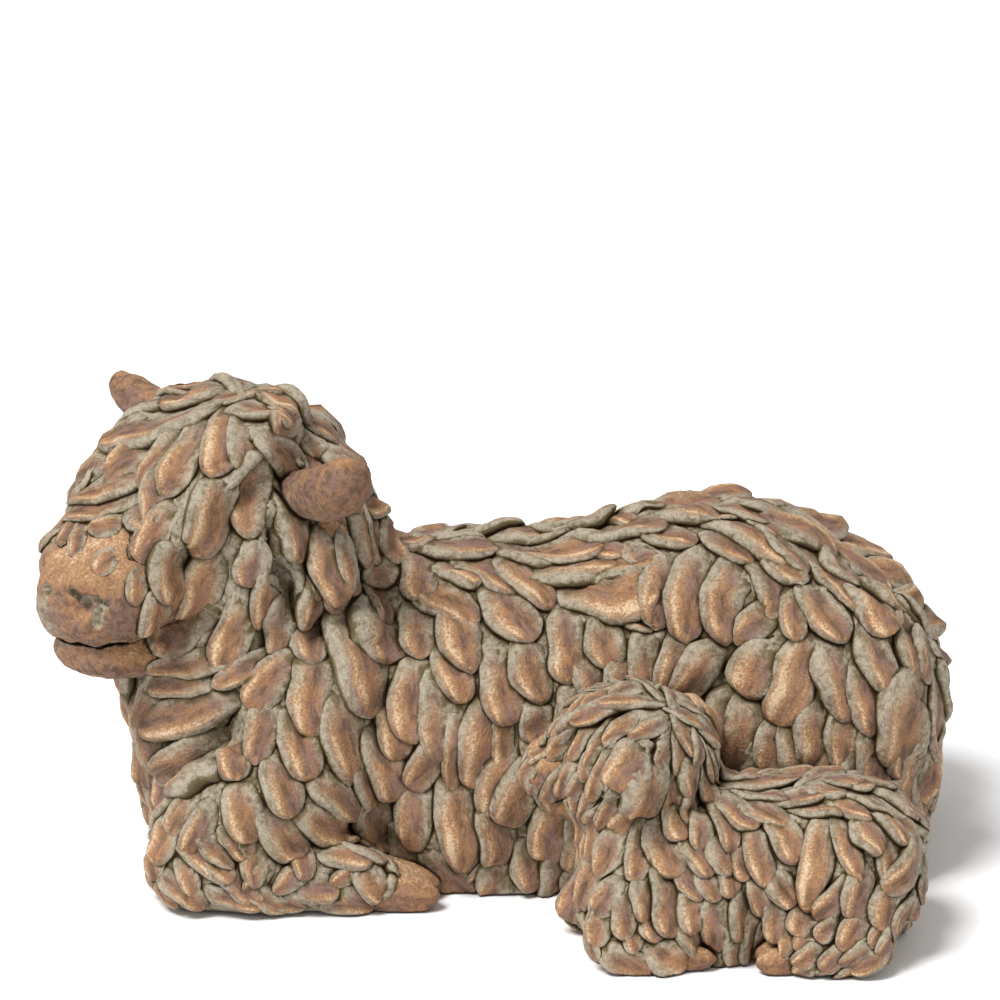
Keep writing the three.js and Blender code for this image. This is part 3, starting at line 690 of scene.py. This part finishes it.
def laid(skin, line, width):
    """A lock's middle line drawn onto the skin, and the ways along it, across it and off the skin."""
    spots = [skin.nearest(Vector(point)) for point in line]
    line = soften(np.array([place for place, _ in spots]), LINE_ROUNDS)
    normals = unit(soften(np.array([normal for _, normal in spots]), NORMAL_ROUNDS))
    along = unit(np.gradient(line, axis=0))
    across = unit(np.cross(normals, along))
    normals = unit(np.cross(along, across))
    sway = np.array([noise.noise(Vector(point) / SWAY_SIZE) for point in line])
    return line + across * (sway * SWAY * width * BOW)[:, None], along, across, normals


def thumb_print(ridge, place):
    """The share of its height that each point of a lock keeps under the thumb."""
    along = np.exp(-((SHARES - place) / DENT_ALONG) ** 2)
    across = np.exp(-((SECTION_SIDE + ridge * DENT_SIDE) / DENT_ACROSS) ** 2) * (SECTION_UP > 0)
    return 1 - DENT * along[:, None] * across[None, :]


def wrap(skin, points, normals, width):
    """How far each point of a lock is moved so that it follows the skin under it."""
    wrapped = np.zeros((STATIONS, AROUND))
    for station, ring in enumerate(points):
        for turn in TOP_TURNS:
            place, _ = skin.nearest(Vector(ring[turn]))
            drop = (np.array(place) - ring[turn]) @ normals[station]
            wrapped[station, turn] = min(max(drop, WRAP_LEAST * width), WRAP_MOST * width)
    wrapped[:, UNDER_TURNS] = wrapped[:, TWIN_TURNS]
    return wrapped


def gilding(outline, ridge):
    """How far each point of a lock is from its edge, and how much bronze is brushed on it; the extra on the
    ridge side is partly a painted highlight.
    """
    edge = (SECTION_UP > 0)[None, :] * (1 - np.abs(SECTION_SIDE[None, :])) * outline[:, None]
    rim = np.exp(-((edge - RIM_PLACE) / RIM_BREADTH) ** 2)
    rim = rim * (RIM_GOLD + RIDGE_GOLD_AND_HIGHLIGHT * ridge * SECTION_SIDE)[None, :]
    gold = rim * (ROOT_GOLD + TIP_GOLD * SHARES)[:, None] + MIDDLE_GOLD * edge
    return [np.append(rows.reshape(-1), (0, 0)) for rows in (edge, gold)]


def make_strand(skin, line, width, tone, lift=0.0):
    """A thumb-pressed lock: a closed leaf laid along a line, with its root tucked under and its tip proud."""
    length = np.linalg.norm(np.diff(line, axis=0), axis=1).sum() / LINE_SPAN
    line, along, across, normals = laid(skin, line, width)
    thick = width * THICK_SHARE * CHANCE.uniform(*VARIETY)
    outline = leaf_outline(CHANCE.uniform(*TIP_POWER))
    depth = thick * leaf_outline(DEPTH_POWER)
    tip_lift = CHANCE.uniform(*TIP_LIFT) + lift
    rise = thick * (ROOT_SINK + (tip_lift - ROOT_SINK) * SHARES ** RISE_POWER)
    middle = STATIONS // 2
    ridge = np.sign(across[middle] @ LEAN)
    dent = thumb_print(ridge, CHANCE.uniform(*DENT_PLACE))
    ragged = ragged_edges(CHANCE.uniform(0, RAGGED_STARTS))
    flat = (width / 2 * outline)[:, None] * SECTION_SIDE[None, :] * (1 + RAGGED * ragged)
    roll = math.tan(ridge * abs(CHANCE.normal(0, ROLL)))
    lean = 1 + SKEW * ridge * SECTION_SIDE * (SECTION_UP > 0)
    up = depth[:, None] * SECTION_HIGH * dent * lean + rise[:, None] + flat * roll
    points = line[:, None, :] + across[:, None, :] * flat[:, :, None]
    points = points + normals[:, None, :] * (up + wrap(skin, points, normals, width))[:, :, None]
    rough = np.array([[noise.noise(Vector(point) / WOBBLE_SIZE) for point in ring] for ring in points])
    points = points + normals[:, None, :] * (rough * WOBBLE * width)[:, :, None]
    ends = np.array([line[0] + normals[0] * rise[0], line[-1] + normals[-1] * rise[-1]])
    cloud = grounded(np.vstack([points.reshape(-1, 3), ends]), FLOOR_GAP)
    streaks = np.column_stack([np.append(flat.reshape(-1), (0, 0)), STRAND_WAY * length * STREAK])
    grain = np.column_stack([streaks, np.full(len(cloud), CHANCE.random())])
    node = skin.owner(Vector(line[middle]), coated=True)
    return Strand(node, line[middle], along[middle], across[middle], normals[middle], length, width, cloud,
                  *gilding(outline, ridge), tone, grain)


def slant(skin, root, tip):
    """The share of a lock's width that the camera sees where the skin slopes away from it."""
    _, normal = skin.nearest((root + tip) / 2)
    across = normal.cross(tip - root).normalized()
    return max(math.hypot(across @ RIGHT, across @ UP), SLANT_LEAST)


def read_strands(skin, rows):
    """The locks that were read off the photograph, laid on an animal's skin."""
    made = []
    for row in rows:
        lock = Lock(*row)
        line = photo_line(skin, lock)
        shown = math.dist(lock.root, lock.tip) * PIXEL
        if np.linalg.norm(line[-1] - line[0]) > STRETCH_MOST * shown * LINE_SPAN:
            continue
        tone = lock.tone + CHANCE.uniform(*LISTED_TONE)
        width = lock.width * PIXEL * SPREAD / slant(skin, Vector(line[0]), Vector(line[-1]))
        made.append(make_strand(skin, line, width, tone, lock.lift))
    return made


def mirrored(strands, place, turn):
    """Where the locks would be, and the way they would run, on the other side of a middle plane."""
    facing = np.array((math.sin(turn), -math.cos(turn), 0))
    rows = []
    for strand in strands:
        gap = (strand.middle - np.array(place)) @ facing
        middle = strand.middle - 2 * gap * facing
        along = strand.along - 2 * (strand.along @ facing) * facing
        rows.append((middle, along))
    return rows


def cover_strands(skin, strands, ways):
    """Locks over all that the photograph doesn't show, running as the nearest known ones do."""
    places = np.array([middle for middle, _ in ways])
    runs = np.array([along for _, along in ways])
    corners = skin.points
    triangles = np.array([face[:3] for face in skin.faces])
    first, second, third = (corners[triangles[:, k]] for k in range(3))
    areas = np.linalg.norm(np.cross(second - first, third - first), axis=1)
    picks = CHANCE.choice(len(triangles), COVER_TRIES, p=areas / areas.sum())
    known = Spread(strands)
    made = []
    for pick in picks:
        point = (first[pick] + second[pick] + third[pick]) / 3
        normal = unit(np.cross(second[pick] - first[pick], third[pick] - first[pick]))
        if normal[2] < COVER_FACING or point[2] < COVER_HEIGHT:
            continue
        if known.holds(point) or skin.in_hollow(point):
            continue
        node = skin.owner(Vector(point))
        if is_bare(node) or node == KNOB or skin.bare.find_nearest(Vector(point))[3] < FACE_MARGIN:
            continue
        length, width = (size * MM for size in COVER_SIZES[node.replace("_left", "").replace("_right", "")])
        far = np.linalg.norm(places - point, axis=1)
        close = np.argsort(far)[:COVER_NEIGHBOURS]
        run = (runs[close] / (far[close, None] ** 2 + COVER_NEARNESS)).sum(axis=0)
        if "tail" in node:
            run = TAIL_RUN
        run = unit(run - normal * (run @ normal))
        turn = CHANCE.normal(0, COVER_JITTER)
        run = run * math.cos(turn) + np.cross(normal, run) * math.sin(turn)
        length *= CHANCE.uniform(*VARIETY)
        width *= CHANCE.uniform(*VARIETY) * SPREAD
        half = run * length / 2
        line = straight_line(skin, point - half, point + half, CHANCE.uniform(*COVER_BEND))
        strand = make_strand(skin, line, width, CHANCE.uniform(*COVER_TONE), COVER_LIFT)
        made.append(strand)
        known.add(strand)
    return made


class Spread:
    """The ground that locks take up, so that no other is started too near to the middle of one."""

    def __init__(self, strands):
        self.rows = np.array([self.row(strand, LISTED_ROOM) for strand in strands])

    def row(self, strand, room=1.0):
        along = strand.along / (strand.length * COVER_ALONG * room)
        across = strand.across / (strand.width * COVER_ACROSS * room)
        above = strand.normal / (strand.width * COVER_ACROSS) * COVER_ABOVE
        return np.array([strand.middle, along, across, above])

    def add(self, strand):
        self.rows = np.concatenate([self.rows, self.row(strand)[None]])

    def holds(self, point):
        gaps = point - self.rows[:, 0]
        shares = np.einsum("ij,ikj->ik", gaps, self.rows[:, 1:])
        return bool(((shares ** 2).sum(axis=1) < 1).any())


def pressed(points, faces, hollow):
    """A skin with a hollow pressed into it, or a swelling raised on it, and the trail of that mark.

    A mark at one spot moves the skin one way, so that a thin part such as a tail keeps its form.
    """
    tree = BVHTree.FromPolygons([Vector(point) for point in points], faces)
    spots = [np.array(seen(tree, pixel)) for pixel in hollow.path]
    trail = list(spots)
    for start, end in zip(spots, spots[1:]):
        trail.extend(start + (end - start) * share for share in np.linspace(0, 1, TRAIL_STEPS))
    trail = np.array(trail)
    gaps = np.min([np.linalg.norm(points - spot, axis=1) for spot in trail], axis=0)
    fall = np.exp(-(gaps / (hollow.radius * MM)) ** 2)
    ways = normals_of(points, faces)
    if len(hollow.path) == 1:
        ways = unit((ways * fall[:, None]).sum(axis=0))
    return points - ways * (hollow.depth * MM * fall)[:, None], trail


def normals_of(points, faces):
    """The normal at each point of a mesh."""
    mesh = mesh_of("normals", points, faces)
    rows = np.empty(len(points) * 3)
    mesh.vertices.foreach_get("normal", rows)
    bpy.data.meshes.remove(mesh)
    return rows.reshape(-1, 3)


def marked_muzzle(core, node):
    """The cow's muzzle with its marks, and the trails of the nostrils, which the wash lines."""
    points, faces, _ = core
    points, faces = finer(points[:-1], faces)
    lined = []
    for mark in MUZZLE_MARKS:
        points, trail = pressed(points, faces, mark)
        if mark in NOSTRILS:
            lined.append((trail, mark.radius * MM))
    return closed_patch(points, faces, node), lined


def unlined(points, lined):
    """From 0 in a nostril, where the wash has gathered, to 1 away from it."""
    share = np.ones(len(points))
    for trail, reach in lined:
        for spot in trail:
            share = np.minimum(share, 1 - np.exp(-(aside(points - spot) / reach) ** LINING_POWER))
    return share


def finer(points, faces):
    """A skin with each of its faces split in four."""
    mesh = mesh_of("coarse", points, faces)
    split = bmesh.new()
    split.from_mesh(mesh)
    bmesh.ops.subdivide_edges(split, edges=split.edges, cuts=1, use_grid_fill=True)
    split.verts.index_update()
    places = np.array([vertex.co for vertex in split.verts])
    smaller = [tuple(vertex.index for vertex in face.verts) for face in split.faces]
    split.free()
    bpy.data.meshes.remove(mesh)
    return places, smaller


def toe(points, way):
    """A foot drawn back under the coat, with its top sloping down to its end."""
    reach = points[:, 0] * way
    end, start = reach.max(), reach.min()
    share = (reach - start) / (end - start)
    drawn = points.copy()
    drawn[:, 0] = way * (end - (end - reach) * TOE_STRETCH)
    drawn[:, 2] *= 1 - TOE_SLOPE * share ** TOE_POWER
    return drawn


def horn(points, node):
    """A horn with the girth and rise that the photograph shows, and each point's share of its length."""
    middle = points.mean(axis=0)
    axis = np.linalg.eigh(np.cov((points - middle).T))[1][:, 2]
    outward = axis * np.sign(axis @ (middle - np.array(COW_HEAD_PLACE)))
    reach = (points - middle) @ outward
    share = (reach - reach.min()) / (reach.max() - reach.min())
    root_girth, tip_girth = HORN_GIRTH[node]
    girth = root_girth + (tip_girth - root_girth) * share
    spine = middle + reach[:, None] * outward
    drawn = middle + np.where(reach < 0, reach * HORN_ROOT, reach)[:, None] * outward
    drawn = drawn + HORN_RISE[node] * (share ** HORN_POWER)[:, None] + HORN_DROP[node] * (1 - share)[:, None]
    return drawn + (points - spine) * girth[:, None], share


def core_of(node):
    """The softened body of a horn, hoof or ear, and how bare each of its points is."""
    points, faces = smooth_copy([node], BARE_VOXEL, BARE_ROUNDS)
    share = np.ones(len(points))
    if "fore_hoof" in node:
        points = toe(points, 1)
    elif "hind_hoof" in node:
        points = toe(points, -1)
    elif "horn" in node:
        points, share = horn(points, node)
    points = grounded(points)
    rootwards, tipwards = END_BARENESS
    return (points, faces, []), rootwards + (tipwards - rootwards) * share


def worked(points, faces, depth):
    """The uneven surface of clay worked by hand."""
    normals = normals_of(points, faces)
    lumps = np.array([noise.fractal(Vector(point) / LUMP, *LUMP_NOISE) for point in points])
    return grounded(points + normals * (lumps * depth)[:, None])


def bareness(points, bare_tree):
    """From 0 on the coat to 1 on bare skin, blending over a little way."""
    gaps = np.array([bare_tree.find_nearest(Vector(point))[3] for point in points])
    return np.clip(1 - gaps / BARE_BLEND, 0, 1)


def attach(mesh, name, values):
    layer = mesh.attributes.new(name, "FLOAT", "POINT")
    layer.data.foreach_set("value", np.asarray(values, np.float32))


def build_piece(node, core, strands, bare):
    """One piece that stands for a CAD node: its part of the skin with its locks."""
    points, faces, caps = core
    points = worked(points, faces, LUMP_DEPTH.get(node, LUMP_DEPTH_ELSE))
    points = grounded(points - normals_of(points, faces) * (SKIN_SINK * (1 - bare))[:, None])
    clouds, all_faces = [points], list(faces) + list(caps)
    brushed = HORN_GOLD if "horn" in node else BARE_GOLD
    layers = {
        "edge": [bare * BARE_EDGE],
        # The bronze of bare parts grows on their upward faces as a painted highlight.
        "gold": [bare * (brushed + BARE_TOP_HIGHLIGHT * normals_of(points, faces)[:, 2])],
        "way": [SKIN_WAY + (BARE_WAY - SKIN_WAY) * bare],
        "tone": [SKIN_TONE + (BARE_TONE - SKIN_TONE) * bare],
        "hidden": [np.zeros(len(points))],
    }
    grain = [points]
    count = len(points)
    for strand in strands:
        clouds.append(strand.points)
        all_faces.extend(tuple(index + count for index in face) for face in STRAND_FACES)
        tones = np.full(len(strand.points), strand.tone)
        marks = (strand.edge, strand.gold, STRAND_WAY, tones, STRAND_HIDDEN)
        for rows, mark in zip(layers.values(), marks):
            rows.append(mark)
        grain.append(strand.grain)
        count += len(strand.points)
    mesh = mesh_of(node + "_skin", np.vstack(clouds), all_faces)
    mesh.polygons.foreach_set("use_smooth", np.ones(len(mesh.polygons), bool))
    for name, values in layers.items():
        attach(mesh, name, np.concatenate(values))
    layer = mesh.attributes.new("grain", "FLOAT_VECTOR", "POINT")
    layer.data.foreach_set("vector", np.vstack(grain).astype(np.float32).reshape(-1))
    piece = placed(node + "_skin", mesh)
    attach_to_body(piece, "root")
    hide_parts(node)
    return piece


def mark_cavities(pieces):
    """Stores at each point how much of the sky above it is closed off nearby."""
    tree = tree_of([piece.data for piece in pieces])
    turns = np.arange(CAVITY_RAYS) * GOLDEN_TURN
    heights = np.sqrt((np.arange(CAVITY_RAYS) + 0.5) / CAVITY_RAYS)
    flat = np.sqrt(1 - heights ** 2)
    fan = np.stack([np.cos(turns) * flat, np.sin(turns) * flat, heights], axis=1)
    for piece in pieces:
        mesh = piece.data
        closed = np.empty(len(mesh.vertices))
        hidden = np.empty(len(mesh.vertices))
        mesh.attributes["hidden"].data.foreach_get("value", hidden)
        for index, vertex in enumerate(mesh.vertices):
            if hidden[index]:
                closed[index] = EDGE_CAVITY
                continue
            normal = vertex.normal
            turn = normal.to_track_quat("Z", "Y").to_matrix()
            start = vertex.co + normal * CAVITY_START
            total = 0.0
            for spoke in fan:
                gap = tree.ray_cast(start, turn @ Vector(spoke), CAVITY_REACH)[3]
                if gap is not None:
                    total += 1 - gap / CAVITY_REACH
            closed[index] = total / CAVITY_RAYS
        attach(mesh, "cavity", closed)


class Shader:
    """A small helper that adds and joins the nodes of one material."""

    def __init__(self, name):
        self.material = bpy.data.materials.new(name)
        self.material.use_nodes = True
        self.tree = self.material.node_tree
        self.tree.nodes.clear()
        self.output = self.tree.nodes.new("ShaderNodeOutputMaterial")
        self.surface = self.tree.nodes.new("ShaderNodeBsdfPrincipled")
        self.tree.links.new(self.surface.outputs[0], self.output.inputs[0])
        self.place = self.tree.nodes.new("ShaderNodeTexCoord").outputs["Object"]

    def join(self, source, socket):
        if isinstance(source, (int, float, tuple)):
            socket.default_value = source
        else:
            self.tree.links.new(source, socket)

    def node(self, kind, output, inputs, **settings):
        """One output of a new node, with the node's settings made and its inputs joined."""
        made = self.tree.nodes.new("ShaderNode" + kind)
        for name, value in settings.items():
            setattr(made, name, value)
        for socket, source in inputs.items():
            self.join(source, made.inputs[socket])
        return made.outputs[output]

    def attribute(self, name, output="Fac"):
        return self.node("Attribute", output, {}, attribute_name=name)

    def noise(self, sizes, place=None):
        sockets = dict(zip(("Scale", "Detail", "Roughness", "Distortion"), sizes))
        return self.node("TexNoise", "Fac", {"Vector": place or self.place, **sockets})

    def hollow(self, reach):
        """How open a point is to its surroundings, from 0 in a crevice to 1 on a crest."""
        return self.node("AmbientOcclusion", "AO", {"Distance": reach}, samples=OCCLUSION_SHADE_SAMPLES)

    def math(self, kind, *sources):
        return self.node("Math", 0, dict(enumerate(sources)), operation=kind)

    def weighted(self, sources, weights):
        """The sum of named sources, each times its weight."""
        total = 0.0
        for name, weight in weights.items():
            total = self.math("MULTIPLY_ADD", sources[name], weight, total)
        return total

    def ramp(self, source, low, high):
        """A smooth step from 0 at low to 1 at high."""
        inputs = {"Value": source, "From Min": low, "From Max": high}
        return self.node("MapRange", 0, inputs, interpolation_type="SMOOTHSTEP")

    def mix(self, share, first, second):
        inputs = {0: share, MIX_FIRST: first, MIX_SECOND: second}
        return self.node("Mix", MIX_RESULT, inputs, data_type="RGBA")

    def bump(self, height, strength, depth):
        normal = self.node("Bump", 0, {"Strength": strength, "Distance": depth, "Height": height})
        self.join(normal, self.surface.inputs["Normal"])


def clay_material(name):
    """Brown glazed clay, brushed with bronze on its crests and washed grey-green in its hollows, with painted
    shade in its crevices and closed-off hollows, partly painted highlights on ridge sides and upward bare
    faces, and painted glints in its palest bronze.
    """
    shader = Shader(name)
    paint = {mark: shader.attribute(mark) for mark in ("edge", "gold", "cavity", "tone", "way")}
    paint.update({kind: shader.noise(sizes) for kind, sizes in NOISES.items()})
    paint["streak"] = shader.noise(STREAK_NOISE, shader.attribute("grain", "Vector"))
    paint["one"] = 1.0
    brown = shader.mix(shader.ramp(paint["broad"], *RUSSET_RANGE), MAUVE, RUSSET)
    brown = shader.mix(shader.ramp(paint["streak"], *LIGHT_RANGE), BROWN_DARK, brown)
    # The bronze sum takes in the painted highlights stored with the brushing: the ridge sides and the upward
    # bare faces.
    paint["gild"] = shader.weighted(paint, GILD)
    paint["bronzed"] = shader.ramp(paint["gild"], *GILD_RANGE)
    # The palest bronze, partly painted glints.
    pale_and_glint = shader.ramp(shader.weighted(paint, PALE_AND_GLINT), *PALE_AND_GLINT_RANGE)
    colour = shader.mix(paint["bronzed"], brown, shader.mix(pale_and_glint, BRONZE, BRONZE_PALE_AND_GLINT))
    # The wash colour, darkened as painted shade where the sky above is closed off.
    wash = shader.mix(shader.ramp(shader.weighted(paint, SHADE), *SHADE_RANGE), WASH_DARK, WASH_LIGHT)
    washed = shader.ramp(shader.weighted(paint, WASH), *WASH_RANGE)
    colour = shader.mix(shader.math("MULTIPLY", washed, WASH_COVER), colour, wash)
    speck = shader.ramp(paint["grain"], *SPECK_RANGE)
    colour = shader.mix(shader.math("MULTIPLY", speck, SPECK_COVER), colour, BROWN_DARK)
    # Painted shade, partly a real dark wash: crevices closed off within a short reach are darkened towards
    # the near-black.
    paint["closed"] = shader.math("SUBTRACT", 1.0, shader.hollow(OCCLUSION_SHADE_REACH))
    colour = shader.mix(shader.ramp(shader.weighted(paint, CREVICE_WASH_AND_SHADE_WEIGHTS), *CREVICE_WASH_AND_SHADE_RANGE), colour, CREVICE_WASH_AND_SHADE)
    shader.join(colour, shader.surface.inputs["Base Color"])
    shader.join(shader.math("MULTIPLY", paint["bronzed"], METALLIC), shader.surface.inputs["Metallic"])
    shader.join(shader.weighted(paint, ROUGH), shader.surface.inputs["Roughness"])
    shader.surface.inputs["Specular IOR Level"].default_value = SPECULAR
    shader.bump(shader.weighted(paint, RELIEF), RELIEF_STRENGTH, RELIEF_DEPTH)
    return shader.material


def plain_material(name, colour, roughness):
    shader = Shader(name)
    shader.surface.inputs["Base Color"].default_value = colour
    shader.surface.inputs["Roughness"].default_value = roughness
    return shader.material


def stage():
    """A white floor, soft light from all round, a key light and the photograph's camera."""
    corners = [(x * FLOOR_HALF, y * FLOOR_HALF, 0) for x, y in ((-1, -1), (1, -1), (1, 1), (-1, 1))]
    floor = placed("floor", mesh_of("floor", corners, [(0, 1, 2, 3)]))
    floor.data.materials.append(plain_material("white_floor", FLOOR_WHITE, FLOOR_ROUGHNESS))
    world = bpy.data.worlds.new("studio")
    world.use_nodes = True
    background = world.node_tree.nodes["Background"]
    background.inputs["Color"].default_value = (1, 1, 1, 1)
    background.inputs["Strength"].default_value = WORLD_LIGHT
    bpy.context.scene.world = world
    lamp = bpy.data.lights.new("key", "SUN")
    lamp.energy = KEY_LIGHT
    lamp.angle = KEY_ANGLE
    light = placed("key", lamp)
    light.rotation_euler = KEY_WAY.to_track_quat("-Z", "Y").to_euler()
    lens = bpy.data.cameras.new("photograph")
    lens.sensor_width = SENSOR
    lens.lens = SENSOR * DISTANCE / (IMAGE * PIXEL)
    camera = placed("photograph", lens)
    camera.location = CAMERA
    camera.rotation_euler = FORWARD.to_track_quat("-Z", "Y").to_euler()
    bpy.context.scene.camera = camera
    bpy.context.scene.view_settings.view_transform = "Standard"


# The listed locks of each animal, and the place and turn of the middle plane that each list is mirrored in.
COATS = {
    "cow": ((COW_NECK + COW_FLANK + COW_BACK + COW_HAUNCH + COW_FORELEG, COW_STANDS, 0),
            (COW_HEAD, COW_HEAD_PLACE, COW_HEAD_TURN)),
    "calf": ((CALF_NECK + CALF_BODY, CALF_STANDS, 0), (CALF_HEAD, CALF_HEAD_PLACE, CALF_HEAD_TURN)),
}


def dress():
    """All the pieces of both animals."""
    skins, known, ways = {}, {}, {}
    for animal, lists in COATS.items():
        skins[animal] = Skin(skin_nodes(animal))
        known[animal], across = [], []
        for rows, place, turn in lists:
            read = read_strands(skins[animal], rows)
            known[animal] += read
            across += mirrored(read, place, turn)
        ways[animal] = [(strand.middle, strand.along) for strand in known[animal]] + across
    near_ear = read_strands(Skin(["cow_ear_left"], BARE_VOXEL), COW_EAR)
    strands, cores = [], {}
    for animal, skin in skins.items():
        strands += known[animal] + cover_strands(skin, known[animal], ways[animal])
        cores.update(skin.patches())
    strands += near_ear
    cores["cow_muzzle"], lined = marked_muzzle(cores["cow_muzzle"], "cow_muzzle")
    bare_tree = solid_tree([node for node in cores if is_bare(node)])[0]
    pieces = []
    for node in sorted(NODES):
        mine = [strand for strand in strands if strand.node == node]
        core, bare = (cores[node], bareness(cores[node][0], bare_tree)) if node in cores else core_of(node)
        if node == "cow_muzzle":
            bare = bare * unlined(core[0], lined)
        pieces.append(build_piece(node, core, mine, bare))
    return pieces


pieces = dress()
mark_cavities(pieces)
coat = clay_material("clay_coat")
bare = clay_material("clay_bare")
for piece in pieces:
    piece.data.materials.append(bare if is_bare(piece.name) else coat)
stage()
